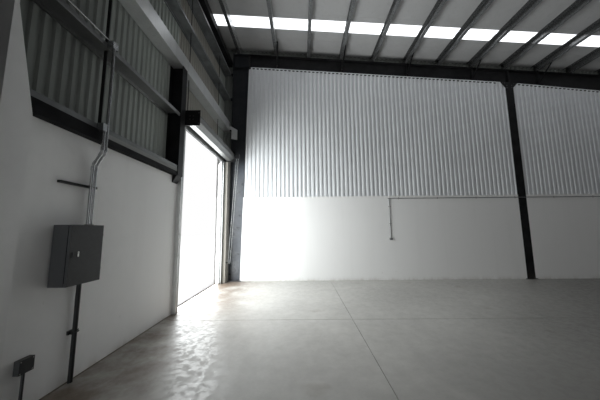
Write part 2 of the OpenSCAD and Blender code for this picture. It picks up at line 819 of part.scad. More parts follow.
// Hoist box on the far end plate, and the hook arm on the wall stub for the chain's lower end.
module chain_hoist() {
  z = chain_z - chain_loop_r + chain_dia / 2 + peg_dia / 2;
  color([0.10, 0.10, 0.11]) place() {
    block([side_plate_l, hoist_y - 44, hoist_z0], [side_plate_l + 140, hoist_y + 44, roll_z + 60]);
    block([stub_d, chain_low[1] + 16, z - 30], [stub_d + 8, chain_low[1] + 56, z + 30]);
    block([stub_d + 8, chain_low[1] + 28, z - 8], [chain_low[0] + 8, chain_low[1] + 44, z + 8]);
    translate([chain_low[0], chain_low[1] - 16, z]) rotate([-90, 0, 0]) cylinder(d = peg_dia, h = 44);
  }
}

// One fixed loop of chain, its two strands side by side.
module hand_chain() {
  v = chain_top - chain_low;
  l = norm(v);
  color([0.35, 0.36, 0.36]) place() difference() {
    translate(chain_low) rotate([0, atan2(v[0], v[2]), 0]) rotate([-atan2(v[1], norm([v[0], v[2]])), 0, 0]) {
      for (x = [-chain_loop_r, chain_loop_r]) translate([x, 0, 0]) cylinder(d = chain_dia, h = l + 60);
      rotate([-90, 0, 0]) rotate_extrude(angle = 180) translate([chain_loop_r, 0]) circle(d = chain_dia);
    }
    translate([0, 0, hoist_z0]) block([0, door_y1 - 200, 0], [2 * side_plate_l, back_y - 1, 200]);
  }
}

// Electrical pieces

cab_face = cab_off + cab_d;
cab_front = cab_face - cab_door_t - cab_gap;
hinge_x = cab_face - cab_door_t / 2;
hinge_y = cab_y + cab_w + hinge_out;
hinge_r = hinge_pin / 2 + 3;

module cabinet_body() {
  t = cab_t;
  color([0.20, 0.21, 0.22]) place() {
    difference() {
      block([cab_off, cab_y, cab_z], [cab_front, cab_y + cab_w, cab_z + cab_h]);
      block([cab_off + t, cab_y + t, cab_z + t], [cab_front + 1, cab_y + cab_w - t, cab_z + cab_h - t]);
    }
    for (y = [cab_y + 30, cab_y + cab_w - 60], z = [cab_z + 40, cab_z + cab_h - 70])
      block([0, y, z], [cab_off, y + 30, z + 30]);
    for (z = [cab_z + 100, cab_z + cab_h - 140]) {
      block([cab_front - 40, cab_y + cab_w, z], [cab_front, hinge_y + 3, z + 20]);
      block([cab_front - 3, hinge_y - 3, z], [hinge_x, hinge_y + 3, z + 20]);
      translate([hinge_x, hinge_y, z]) cylinder(d = hinge_pin, h = 38);
    }
  }
}

module cabinet_door() {
  t = cab_t;
  color([0.18, 0.19, 0.20]) place() {
    difference() {
      block([cab_face - cab_door_t, cab_y, cab_z], [cab_face, cab_y + cab_w, cab_z + cab_h]);
      block([cab_face - cab_door_t - 1, cab_y + t, cab_z + t],
        [cab_face - t, cab_y + cab_w - t, cab_z + cab_h - t]);
    }
    block([cab_face, cab_y + 32, cab_z + cab_h / 2 - 28], [cab_face + 8, cab_y + 52, cab_z + cab_h / 2 + 28]);
    for (z = [cab_z + 120.5, cab_z + cab_h - 119.5]) difference() {
      union() {
        translate([hinge_x, hinge_y, z]) cylinder(r = hinge_r, h = 20);
        block([hinge_x, cab_y + cab_w - t, z], [hinge_x + 4, hinge_y, z + 20]);
      }
      translate([hinge_x, hinge_y, z - 1]) cylinder(d = hinge_pin + 1, h = 22);
    }
  }
}

module cabinet_strut() {
  color([0.30, 0.31, 0.32]) place()
    block([0, cab_y + 3, strut_z - 12], [strut_d, cab_y + cab_w + 53, strut_z + 12]);
}

pipe_x = strut_d + pipe_dia / 2;
pipe_y1 = cab_y + cab_w - 60;
pipe_y2 = pipe_y1 + 42;

// Sleeve coupling, centred on the origin.
module sleeve() {
  translate([0, 0, -22]) cylinder(d = pipe_dia + 7, h = 44);
}

// Conduit that rises at x0, steps over to x1 between two bends and rises on, z_top ending the step.
module s_pipe(x0, x1, y, z0, z1, z_top) {
  r = 4 * pipe_dia;
  a = 30;
  l = (x1 - x0 - 2 * r * (1 - cos(a))) / sin(a);
  zb = z_top - 2 * r * sin(a) - l * cos(a);
  translate([0, y, 0]) {
    translate([x0, 0, z0]) cylinder(d = pipe_dia, h = zb - z0);
    translate([x0, 0, zb]) sleeve();
    translate([x0 + r, 0, zb]) rotate([90, 0, 0]) rotate([0, 0, 180 - a])
      rotate_extrude(angle = a) translate([r, 0]) circle(d = pipe_dia);
    translate([x0 + r * (1 - cos(a)), 0, zb + r * sin(a)]) rotate([0, a, 0]) {
      cylinder(d = pipe_dia, h = l);
      sleeve();
      translate([0, 0, l]) sleeve();
    }
    translate([x1 - r, 0, z_top]) rotate([90, 0, 0]) rotate([0, 0, -a])
      rotate_extrude(angle = a) translate([r, 0]) circle(d = pipe_dia);
    translate([x1, 0, z_top]) sleeve();
    translate([x1, 0, z_top]) cylinder(d = pipe_dia, h = z1 - z_top);
  }
}

// One conduit ends in the box on the first girt, the other passes it to the box on the second.
module cabinet_conduits() {
  xo = girt_in + 60;
  zt = dado_h + sill_h - 25;
  color([0.42, 0.43, 0.44]) place() {
    s_pipe(pipe_x, xo, pipe_y1, cab_z + cab_h, zt, dado_h - 100);
    s_pipe(pipe_x, xo, pipe_y2, cab_z + cab_h, girt2_z, dado_h - 100);
    block([girt_in, pipe_y1 - 42, zt], [xo + 18, pipe_y1 + 20, zt + 92]);
    block([girt_in, pipe_y2 - 40, girt2_z], [xo + 18, pipe_y2 + 46, girt2_z + 92]);
    rod([xo - 20, near_y, girt2_z + 76], [xo - 20, pipe_y2 - 40, girt2_z + 76], 20);
  }
}

module feed_conduit() {
  x = cab_off + feed_dia / 2;
  y = pipe_y1 - 20;
  color([0.16, 0.17, 0.18]) place() {
    rod([x, y, 0], [x, y, cab_z], feed_dia);
    block([0, y - 50, clamp_z - 20], [cab_off, y + 50, clamp_z + 20]);
  }
}

module outlet_box() {
  color([0.20, 0.21, 0.22]) place() {
    block([0, cab_y - 198, 340], [50, cab_y - 72, 460]);
    rod([25, cab_y - 135, 0], [25, cab_y - 135, 340], 25);
  }
}

module back_wall_conduit() {
  y = back_y - back_pipe_dia / 2;
  color([0.60, 0.61, 0.62]) place() {
    rod([drop_x - 40, y, back_pipe_z], [low_in(back_pipe_z) - 60, y, back_pipe_z], back_pipe_dia);
    rod([drop_x, y, drop_z + 64], [drop_x, y, back_pipe_z], back_pipe_dia);
    block([drop_x - 45, back_y - 40, drop_z], [drop_x + 45, back_y, drop_z + 64]);
  }
}

// Trims

// Closure strip under the rafter between two x values.
module closure(x0, x1) {
  h = 22;
  along_y(back_y, liner_front) polygon([[x0, raf_z(x0) - h], [x1, raf_z(x1) - h], [x1, raf_z(x1)],
    [x0, raf_z(x0)]]);
}

module wall_trims() {
  color([0.80, 0.81, 0.82]) place() {
    closure(high_knee_x + 80, post_x - gusset_w / 2 - 20);
    closure(post_x + gusset_w / 2 + 20, low_knee_x - 80);
  }
}

// Flashings outside: high eave, gable barge and the corner between the two claddings.
module outer_trims() {
  t = sheet_t;
  zt = skin_z(x_lo) + panel_t + roof_rib_d + 12;
  up = panel_t + roof_rib_d;
  color([0.55, 0.56, 0.57]) place() {
    block([x_lo, near_y, door_clad_top - 180], [clad_crest, back_crest, zt]);
    block([x_lo, near_y, zt - t], [x_lo + 180, back_crest, zt]);
    along_y(back_crest, back_crest + t) polygon([[x_lo, skin_z(x_lo) - 180], [right_x, skin_z(right_x) - 180],
      [right_x, skin_z(right_x) + up], [x_lo, skin_z(x_lo) + up]]);
    block([x_lo, back_girt_out - 120, dado_h - 50], [clad_crest, back_crest, door_clad_top - 180]);
    block([x_lo, back_crest, dado_h - 50], [girt_out + 120, back_crest + t, door_clad_top - 180]);
  }
}

floor_slab();
door_wall_dado();
door_wall_stub();
plaster_pier();
back_dado_left();
back_dado_right();
corner_column();
gable_post();
right_column();
back_rafter();
near_left_column();
near_right_column();
near_rafter();
purlins();
fly_braces();
roof_sheets();
skylight();
back_liner();
back_girts();
back_cladding();
door_wall_cladding();
over_door_cladding();
sill_beam();
dado_girt();
girt_two();
door_head_beam();
upper_girts();
sag_rods();
eave_strut();
door_post();
door_lintel();
door_guides();
shutter_roll();
shutter_end_plates();
shutter_bottom_bar();
chain_hoist();
hand_chain();
cabinet_body();
cabinet_door();
cabinet_strut();
cabinet_conduits();
feed_conduit();
outlet_box();
back_wall_conduit();
wall_trims();
outer_trims();
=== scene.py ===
"""Looks of a factory hall's end bay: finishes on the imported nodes, fixings, shutter slats, chain and stage."""

import json
import math

import bpy
from mathutils import Matrix, Vector


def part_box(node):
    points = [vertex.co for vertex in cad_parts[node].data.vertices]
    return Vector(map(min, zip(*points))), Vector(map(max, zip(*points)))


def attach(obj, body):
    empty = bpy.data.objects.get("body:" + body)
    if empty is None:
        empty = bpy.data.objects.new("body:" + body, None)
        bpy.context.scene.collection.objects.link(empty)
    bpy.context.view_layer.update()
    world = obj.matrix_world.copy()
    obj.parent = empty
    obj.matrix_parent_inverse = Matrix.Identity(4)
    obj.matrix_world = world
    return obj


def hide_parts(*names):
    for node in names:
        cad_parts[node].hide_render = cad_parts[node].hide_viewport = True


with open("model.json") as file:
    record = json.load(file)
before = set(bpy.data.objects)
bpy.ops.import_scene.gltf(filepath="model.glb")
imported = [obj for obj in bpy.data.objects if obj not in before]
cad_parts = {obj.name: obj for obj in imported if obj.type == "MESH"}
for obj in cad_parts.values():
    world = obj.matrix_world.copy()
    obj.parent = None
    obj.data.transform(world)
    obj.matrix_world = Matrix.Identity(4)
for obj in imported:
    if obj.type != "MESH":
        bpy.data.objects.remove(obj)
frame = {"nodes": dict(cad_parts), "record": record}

bl_info = {
    "name": "Factory hall end bay",
    "version": (1, 0, 0),
    "blender": (4, 5, 0),
    "location": "View3D > Sidebar > Hall bay",
    "description": "Dresses the packed end bay of a factory hall",
    "category": "Object",
}

NODES = frame["nodes"]
TINT = {m["slot"]: tuple(m["base_color"]) for m in frame["record"]["materials"]}
SLOT_OF = {s["node"]: s["material_slot"] for s in frame["record"]["subparts"]}

# The hall's own measures in metres, as in part.scad: x from the door wall's plaster face, y from the near frame's
# line, z from the floor.
SLAB_LOW, SLAB_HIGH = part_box("floor_slab")
SLAB_PAST = 0.15
ORIGIN = Vector((SLAB_LOW.x + SLAB_PAST, SLAB_LOW.y + SLAB_PAST, SLAB_HIGH.z))

# Roof: eave height, fall per metre, and how far a metre down the slope goes across and down.
EAVE, FALL = 7.75, 0.077
ACROSS, DROP = math.cos(math.atan(FALL)), math.sin(math.atan(FALL))
ROOF_UP, ROOF_DOWN, ROOF_ALONG = (DROP, 0, ACROSS), (-DROP, 0, -ACROSS), (ACROSS, 0, -DROP)

# Frames: the columns' outer faces, the faces under the rafter's ends, the gable post, and the rafter's two depths.
COLUMN_X, KNEE_X, POST_X, LOW_KNEE_X, LOW_X = 0.17, 0.72, 9.64, 18.38, 19.16
RAFTER_D, TAIL_D = 0.48, 0.775
FRAME_YS = (0.0, 6.9)
PLATE_T, STIFFENER_T, WEB_HALF = 0.02, 0.014, 0.005
KNEES = ((KNEE_X + PLATE_T, 1), (LOW_KNEE_X - PLATE_T, -1))
FEET = ((COLUMN_X, 1), (LOW_X, -1))
FOOT_W = 0.375

# Purlins, their seats and those that carry a fly brace.
PURLINS = [0.36] + [1.665 + 1.125 * i for i in range(16)] + [19.06]
BRACED = PURLINS[1:-1:2]
PURLIN_D, PURLIN_B, SEAT_T, BRACE_T = 0.25, 0.1, 0.02, 0.005

# Walls and the doorway, the ribs' pitches and the heights at which the sheets are screwed.
NEAR_Y, BACK_Y, BACK_OUT = -0.1, 6.8, 7.0
DOOR_Y0, DOOR_Y1, DOOR_H, OPEN_H = 3.76, 6.45, 3.9, 3.68
DOOR_MID = (DOOR_Y0 + DOOR_Y1) / 2
SHEET_X, LINER_Y = -0.155, 6.838
DOOR_RIB, GABLE_RIB, ROOF_RIB = 0.119, 0.138, 0.205
DOOR_SCREW_ZS = (2.72, 3.885, 5.08, 6.085, 6.995, 7.46)
GABLE_SCREW_ZS = (2.69, 3.885, 5.0, 6.08)
LINER_SCREW_ZS = (2.682, 3.885, 4.967)
SHEET_FOOT, SHEET_EDGE, SKIN = 2.6, 0.012, 0.003
ROOF_SHEETS = ((-0.14, 5.5), (5.92, 7.028))

# The rolled shutter's axis and radius, the conduits by the cabinet, and the cabinet's door.
ROLL_X, ROLL_Z, ROLL_R = 0.22, 3.93, 0.17
PIPE_X, PIPE_YS, STRUT_Z = 0.058, (1.595, 1.637), 2.092
FEED_X, FEED_Y = 0.0425, 1.575
CABINET_LOW, CABINET_TOP = 1.035, 1.645
LEAF_BACK, LEAF_FACE = 0.174, 0.2

# The photograph's camera, solved from its straight edges: focal length in pixels of the frame's width, its turns in
# degrees and its place in the hall.
FOCAL_PX, FRAME_PX, SENSOR = 249.686, 600.0, 36.0
YAW, PITCH, ROLL = -0.317, 6.892, -0.511
EYE = (2.5, -1.25, 1.57)

# Light that reaches the hall from all round, and the lamps: place, target, width, height, radiance, and where they
# differ from the usual, spread in degrees and colour.
SKY = 0.043
LAMPS = {
    "doorway": ((-0.1, DOOR_MID, OPEN_H / 2), (2.0, DOOR_MID, OPEN_H / 2), DOOR_Y1 - DOOR_Y0, OPEN_H, 9.0,
                173.0, (0.96, 0.995, 1.0)),
    "outside_daylight": ((-24.0, 26.0, 34.0), (5.0, 6.0, 3.0), 22.0, 22.0, 4.5),
    "roof_daylight": ((9.6, 3.45, 10.5), (9.6, 3.45, 0.0), 18.6, 6.3, 1.15, 50.0),
    "hall_daylight": ((7.5, -9.0, 3.0), (7.5, 6.8, 2.8), 12.0, 4.0, 0.85),
}

RIGHT, LEFT, BACK, NEAR, UP, DOWN = (1, 0, 0), (-1, 0, 0), (0, 1, 0), (0, -1, 0), (0, 0, 1), (0, 0, -1)
FLOAT = "NodeSocketFloat"
FINISHES, GROUPS, TREES = {}, {}, {}

# Nodes whose finish isn't their slot's plain one.
OWN_FINISH = {
    "feed_conduit": "pvc", "purlins": "purlin zinc", "girt_two": "girt zinc", "door_head_beam": "beam zinc",
    "door_wall_stub": "pier", "door_guides": "guide zinc", "door_wall_cladding": "door side", "sill_beam": "sill",
    "corner_column": "column", "over_door_cladding": "over door", "back_wall_conduit": "aged conduit",
}


def at(x, y, z):
    """A point of the hall in the row frame."""
    return ORIGIN + Vector((x, y, z))


def rafter_top(x):
    return EAVE - FALL * x


def rafter_low(x):
    tail = (TAIL_D - RAFTER_D) * (x - POST_X) / (LOW_KNEE_X - POST_X)
    return rafter_top(x) - RAFTER_D - max(tail, 0)


def on_roof(x, y, lift):
    """A point of the roof where the hall's x meets its top line, and lift square above that."""
    return at(x + lift * DROP, y, EAVE - x * FALL + lift * ACROSS)


def rib_lines(start, end, pitch):
    """The places of a sheet's ribs, centred between start and end."""
    count = int((end - start) / pitch)
    first = start + (end - start - count * pitch) / 2
    return [first + k * pitch for k in range(count + 1)]


# Nodes of any tree, t.

def feed(t, socket, value):
    if isinstance(value, bpy.types.NodeSocket):
        t.links.new(value, socket)
    else:
        socket.default_value = value


def put(t, kind, settings=None, **inputs):
    """Adds a node; a keyword names an input, with _ for a space."""
    made = t.nodes.new(kind)
    for key, value in (settings or {}).items():
        setattr(made, key, value)
    for key, value in inputs.items():
        feed(t, made.inputs[key.replace("_", " ")], value)
    return made


def out(t, kind, settings=None, **inputs):
    """The first output of a new node."""
    return put(t, kind, settings, **inputs).outputs[0]


def sums(t, operation, a, b, clamp=False, kind="ShaderNodeMath"):
    settings = {"operation": operation, "use_clamp": True} if clamp else {"operation": operation}
    made = put(t, kind, settings)
    feed(t, made.inputs[0], a)
    feed(t, made.inputs[1], b)
    return made.outputs[0]


def plus(t, a, b):
    return sums(t, "ADD", a, b)


def times(t, a, b, clamp=False):
    return sums(t, "MULTIPLY", a, b, clamp)


def vectors(t, operation, a, b):
    return sums(t, operation, a, b, kind="ShaderNodeVectorMath")


def axes(t, vector):
    """The X, Y and Z of a vector."""
    return put(t, "ShaderNodeSeparateXYZ", Vector=vector).outputs


def facing(t):
    """The X, Y and Z of the way the surface looks."""
    return axes(t, put(t, "ShaderNodeNewGeometry").outputs["Normal"])


def blend(t, factor, a, b, mode="MIX"):
    made = put(t, "ShaderNodeMix", {"data_type": "RGBA", "blend_type": mode})
    for index, value in ((0, factor), (6, a), (7, b)):
        feed(t, made.inputs[index], value)
    return made.outputs[2]


def spread(t, value, low, high, to_low=0.0, to_high=1.0):
    """Takes low to high smoothly to to_low to to_high, and holds those beyond."""
    return put(t, "ShaderNodeMapRange", {"interpolation_type": "SMOOTHSTEP"}, Value=value, From_Min=low,
               From_Max=high, To_Min=to_low, To_Max=to_high).outputs[0]


def noise(t, vector, scale, detail=3.0, roughness=0.55, distortion=0.0):
    return put(t, "ShaderNodeTexNoise", {"noise_dimensions": "3D"}, Vector=vector, Scale=scale, Detail=detail,
               Roughness=roughness, Distortion=distortion).outputs["Fac"]


# Effects that several finishes share.

def mottle_nodes(g, i):
    broad = noise(g, i["Vector"], i["Scale"], 4)
    fine = noise(g, i["Vector"], times(g, i["Scale"], 9.0), 3)
    return {"Mask": spread(g, plus(g, times(g, broad, 0.65), times(g, fine, 0.35)), 0.34, 0.66)}


def foot_dirt_nodes(g, i):
    height = sums(g, "SUBTRACT", axes(g, i["Vector"])[2], i["Floor"])
    low = sums(g, "SUBTRACT", 1.0, sums(g, "DIVIDE", height, i["Reach"]), clamp=True)
    ragged = noise(g, vectors(g, "MULTIPLY", i["Vector"], (3.0, 3.0, 1.0)), 2.2, 5, 0.65)
    mask = times(g, sums(g, "POWER", low, 2.0), spread(g, ragged, 0.3, 0.7), True)
    return {"Mask": times(g, mask, i["Amount"], True)}


def streak_nodes(g, i):
    thin = noise(g, vectors(g, "MULTIPLY", i["Vector"], (1.0, 1.0, 0.05)), i["Scale"], 3, 0.6)
    return {"Mask": times(g, spread(g, thin, 0.5, 0.75), i["Amount"], True)}


def paint_film_nodes(g, i):
    peel = noise(g, i["Vector"], i["Scale"], 2)
    wave = noise(g, i["Vector"], times(g, i["Scale"], 0.06), 2)
    return {"Height": plus(g, times(g, peel, 0.35), wave), "Tone": spread(g, wave, 0.3, 0.7)}


def spangle_nodes(g, i):
    cells = put(g, "ShaderNodeTexVoronoi", {"feature": "F1"}, Vector=i["Vector"], Scale=i["Scale"])
    tone = out(g, "ShaderNodeSeparateColor", Color=cells.outputs["Color"])
    cloud = noise(g, i["Vector"], times(g, i["Scale"], 0.05), 4)
    return {"Tone": plus(g, times(g, tone, 0.4), times(g, cloud, 0.6)), "Cell": tone}


def wear_nodes(g, i):
    chip = noise(g, i["Vector"], i["Scale"], 6, 0.7)
    zone = noise(g, i["Vector"], times(g, i["Scale"], 0.1), 2)
    mask = times(g, spread(g, chip, 0.66, 0.7), spread(g, zone, 0.5, 0.62))
    return {"Mask": times(g, mask, i["Amount"], True)}


def settled_dust_nodes(g, i):
    patch = noise(g, i["Vector"], 6.0, 4)
    mask = times(g, spread(g, facing(g)[2], 0.3, 0.9), spread(g, patch, 0.2, 0.7))
    return {"Mask": times(g, mask, i["Amount"], True)}


def shader_group(name, sizes, outputs, build):
    """A node group with a Vector input, one for each of sizes with its default, and plain number outputs."""
    group = bpy.data.node_groups.new(name, "ShaderNodeTree")
    group.interface.new_socket("Vector", in_out="INPUT", socket_type="NodeSocketVector")
    for label, default in sizes.items():
        group.interface.new_socket(label, in_out="INPUT", socket_type=FLOAT).default_value = default
    for label in outputs:
        group.interface.new_socket(label, in_out="OUTPUT", socket_type=FLOAT)
    source, sink = group.nodes.new("NodeGroupInput"), group.nodes.new("NodeGroupOutput")
    for label, value in build(group, source.outputs).items():
        group.links.new(value, sink.inputs[label])
    return group


def make_groups():
    for key, name, sizes, outputs, build in (
            ("mottle", "mottled tone", {"Scale": 1.0}, ("Mask",), mottle_nodes),
            ("foot", "dirt near the floor", {"Floor": ORIGIN.z, "Reach": 0.4, "Amount": 0.6}, ("Mask",),
             foot_dirt_nodes),
            ("streak", "run-down streaks", {"Scale": 8.0, "Amount": 0.4}, ("Mask",), streak_nodes),
            ("film", "paint film", {"Scale": 90.0}, ("Height", "Tone"), paint_film_nodes),
            ("spangle", "zinc spangle", {"Scale": 60.0}, ("Tone", "Cell"), spangle_nodes),
            ("wear", "chips and scuffs", {"Scale": 20.0, "Amount": 0.5}, ("Mask",), wear_nodes),
            ("dust", "settled dust", {"Amount": 0.4}, ("Mask",), settled_dust_nodes)):
        GROUPS[key] = shader_group(name, sizes, outputs, build)


# Finishes.

def rgb(colour, gain=1.0):
    return tuple(min(c * gain, 1.0) for c in colour[:3]) + (1.0,)


def shade(colour, gain):
    return tuple(v * gain for v in colour)


class Finish:
    """A material: one shader whose colour is laid on in layers, with patterns in Object coordinates."""

    def __init__(self, name, metallic=0.0, specular=0.5):
        self.made = bpy.data.materials.new(name)
        self.made.use_nodes = True
        self.tree = self.made.node_tree
        self.tree.nodes.clear()
        self.shader = put(self.tree, "ShaderNodeBsdfPrincipled", Metallic=metallic, Specular_IOR_Level=specular)
        put(self.tree, "ShaderNodeOutputMaterial", Surface=self.shader.outputs[0])
        self.place = put(self.tree, "ShaderNodeTexCoord").outputs["Object"]

    def hall(self):
        """X, Y and Z in the hall's own measures."""
        return axes(self.tree, vectors(self.tree, "SUBTRACT", self.place, ORIGIN))

    def effect(self, name, **inputs):
        return put(self.tree, "ShaderNodeGroup", {"node_tree": GROUPS[name]}, Vector=self.place, **inputs).outputs

    def mask(self, name, **inputs):
        return self.effect(name, **inputs)["Mask"]

    def tones(self, factor, tint, low, high):
        """The first layer: a tint between two gains."""
        self.base = blend(self.tree, factor, rgb(tint, low), rgb(tint, high))

    def lay(self, amount, colour, gain=1.0):
        """A layer over those before it."""
        self.base = blend(self.tree, amount, self.base, rgb(colour, gain))

    def painted_doorway_light(self, tint, gain=1.0):
        """A layer of painted light that covers the end by the doorway, where daylight gets in."""
        self.lay(spread(self.tree, self.hall()[1], 1.2, 3.4), tint, gain)

    def end(self, rough, height=None, strength=0.2, distance=0.002):
        feed(self.tree, self.shader.inputs["Base Color"], self.base)
        feed(self.tree, self.shader.inputs["Roughness"], rough)
        if height is not None:
            bump = put(self.tree, "ShaderNodeBump", Strength=strength, Distance=distance, Height=height)
            feed(self.tree, self.shader.inputs["Normal"], bump.outputs[0])
        return self.made

    def end_film(self, film, rough, strength=0.1, distance=0.001, change=0.14):
        """Ends a painted finish: the film's tone changes the sheen, and its height the surface."""
        level = plus(self.tree, times(self.tree, film["Tone"], change), rough)
        return self.end(level, film["Height"], strength, distance)


def trowelled_concrete(tint):
    """Concrete with clouds, trowel arcs and stains, brown along the door wall, and with painted shade that makes it
    darker towards the near right, away from the doorway.
    """
    f = Finish("power trowelled concrete")
    t, p = f.tree, f.place
    x, y = f.hall()[:2]
    cloud, small = f.mask("mottle", Scale=0.55), f.mask("mottle", Scale=3.5)
    f.tones(cloud, tint, 0.79, 1.01)
    f.lay(times(t, small, 0.35), tint, 0.73)
    arcs = put(t, "ShaderNodeTexWave", {"wave_type": "RINGS", "rings_direction": "Z"}, Vector=p, Scale=1.3,
               Distortion=9.0, Detail=3.0, Detail_Scale=1.2).outputs["Fac"]
    f.lay(times(t, arcs, 0.07), tint, 0.55)
    warp = put(t, "ShaderNodeTexNoise", Vector=p, Scale=1.6, Detail=4.0).outputs["Color"]
    stain = put(t, "ShaderNodeTexVoronoi", {"feature": "SMOOTH_F1"}, Vector=vectors(t, "ADD", p, warp),
                Scale=1.1).outputs["Distance"]
    f.lay(times(t, spread(t, stain, 0.04, 0.22, 1.0, 0.0), 0.28), (0.24, 0.2, 0.155))
    grime = times(t, spread(t, x, 0.2, 2.1, 1.0, 0.0), spread(t, noise(t, p, 1.7, 5, 0.6), 0.2, 0.62))
    f.lay(times(t, grime, 0.95), (0.145, 0.105, 0.075))
    # Painted shade: darker towards the near right, away from the doorway.
    f.lay(spread(t, sums(t, "SUBTRACT", x, y), 1.4, 4.6, 0.0, 0.62), (0.1, 0.095, 0.085))
    fine = noise(t, p, 55, 3)
    worn = spread(t, noise(t, p, 11, 6, 0.68, 0.6), 0.44, 0.58)
    rough = plus(t, plus(t, times(t, cloud, 0.1), times(t, fine, 0.1)), plus(t, times(t, worn, 0.17), 0.25))
    return f.end(rough, plus(t, times(t, fine, 0.4), plus(t, small, times(t, worn, 0.5))), 0.14, 0.002)


def painted_plaster(tint, name="painted plaster", bare_and_shaded=None):
    """Plaster, paler by the doorway as painted light, and darker low down in the near corner. The third argument is the
    tint of an unpainted inner side, which is also painted shade.
    """
    f = Finish(name, specular=0.35)
    t, p = f.tree, f.place
    x, y, z = f.hall()
    f.tones(f.mask("mottle", Scale=0.8), tint, 0.96, 1.02)
    # Painted light: paler towards the doorway.
    f.painted_doorway_light(tint, 1.06)
    if bare_and_shaded:
        # The inner side is unpainted render, and its dark tint is also painted shade.
        f.lay(spread(t, x, -0.03, 0.03), bare_and_shaded)
    # Darker low down in the near corner.
    f.lay(times(t, spread(t, y, 0.5, 1.7, 1.0, 0.0), spread(t, z, 0.2, 1.7, 0.5, 0.0)), tint, 0.3)
    f.lay(f.mask("streak", Scale=4.0, Amount=0.06), (0.6, 0.6, 0.57))
    f.lay(f.mask("foot", Reach=0.16, Amount=0.4), (0.36, 0.31, 0.25))
    f.lay(f.mask("wear", Scale=9.0, Amount=0.2), (0.42, 0.41, 0.39))
    roller, trowel = noise(t, p, 130, 2), noise(t, p, 4.5, 3)
    return f.end(spread(t, roller, 0.3, 0.7, 0.62, 0.78), plus(t, times(t, roller, 0.3), times(t, trowel, 1.2)),
                 0.22, 0.003)


def shop_primer(tint, name="black shop primer", dust=0.04, rough=0.36, specular=0.22, shaded_from=None):
    """Primer; above the height it may be given, in metres, it turns darker, as painted shade, and rougher."""
    f = Finish(name, specular=specular)
    film = f.effect("film", Scale=70.0)
    f.tones(film["Tone"], tint, 0.8, 1.35)
    f.lay(f.mask("dust", Amount=dust), (0.16, 0.15, 0.135))
    f.lay(f.mask("foot", Reach=0.4, Amount=0.3), (0.15, 0.125, 0.1))
    f.lay(f.mask("wear", Scale=26.0, Amount=0.45), (0.1, 0.07, 0.05))
    if shaded_from:
        # Painted shade: darker above that height, and rougher.
        shade_and_dull = spread(f.tree, f.hall()[2], shaded_from, shaded_from + 0.5)
        f.lay(shade_and_dull, tint, 0.3)
        rough = spread(f.tree, shade_and_dull, 0.0, 1.0, rough, 0.85)
    return f.end_film(film, rough)


def sill_primer(dark, pale):
    """Matt dark paint; the upper edge is pale from the pull box to the doorway, a painted highlight where the doorway
    light catches it.
    """
    f = Finish("matt sill primer", specular=0.03)
    t, (_, y, z) = f.tree, f.hall()
    film = f.effect("film", Scale=70.0)
    f.tones(film["Tone"], dark, 0.8, 1.35)
    # Painted highlight: the upper edge is pale towards the doorway.
    f.lay(times(t, sums(t, "GREATER_THAN", z, 2.725), sums(t, "GREATER_THAN", y, 1.7)), pale)
    return f.end_film(film, 0.4)


def zinc(tint, name, cells=150.0, rough=0.3, metal=0.6, dust=0.25, painted_side_light=None, doorway_lit_tint=None):
    """Galvanised steel. It may take tones for faces that look to -X and to +X, which are painted light and shade, and a
    tint by the doorway, which is painted doorway light.
    """
    f = Finish(name, metallic=metal)
    t = f.tree
    spangle = f.effect("spangle", Scale=cells)
    f.tones(spangle["Tone"], tint, 0.85, 1.1)
    # Painted light: paler by the doorway.
    if doorway_lit_tint:
        f.painted_doorway_light(doorway_lit_tint)
    # Painted light and shade: faces that look to -X and to +X get their own tones.
    if painted_side_light:
        f.base = blend(t, 1.0, f.base, spread(t, facing(t)[0], -0.5, 0.5, *painted_side_light), "MULTIPLY")
    f.lay(f.mask("streak", Scale=9.0, Amount=0.3), tint, 0.55)
    f.lay(f.mask("dust", Amount=dust), (0.4, 0.385, 0.35))
    return f.end(plus(t, times(t, spangle["Cell"], 0.05), rough), noise(t, f.place, 30, 3), 0.06, 0.001)


def coil_coating(tint, name, laps=0.0, dirt=0.3, rough=0.5, doorway_lit_tint=None):
    """Coated sheet. laps is the spacing of the sheets' laps; a tint by the doorway, if given, is painted doorway light.
    """
    f = Finish(name, specular=0.45)
    t = f.tree
    f.tones(f.mask("mottle", Scale=0.5), tint, 0.95, 1.03)
    # Painted light: paler by the doorway.
    if doorway_lit_tint:
        f.painted_doorway_light(doorway_lit_tint)
    f.lay(f.mask("streak", Scale=11.0, Amount=dirt), tint, 0.66)
    f.lay(f.mask("dust", Amount=0.3), (0.36, 0.34, 0.3))
    if laps:
        part = sums(t, "DIVIDE", plus(t, axes(t, f.place)[0], 40.0), laps)
        f.lay(times(t, sums(t, "LESS_THAN", sums(t, "FRACT", part, 0.0), 0.004), 0.55), tint, 0.35)
    return f.end_film(f.effect("film", Scale=240.0), rough, 0.07, 0.004)


def skylight_sheet(tint):
    """Fibrous translucent sheet that glows with its own colour: painted light for the sky shining through."""
    f = Finish("translucent roof light", specular=0.4)
    fibre = noise(f.tree, vectors(f.tree, "MULTIPLY", f.place, (14.0, 60.0, 14.0)), 4.0, 4)
    f.tones(times(f.tree, fibre, 0.3), tint, 1.0, 0.9)
    # Painted light: the sheet glows.
    feed(f.tree, f.shader.inputs["Emission Color"], f.base)
    f.shader.inputs["Emission Strength"].default_value = 1.6
    return f.end(0.62, fibre, 0.1, 0.001)


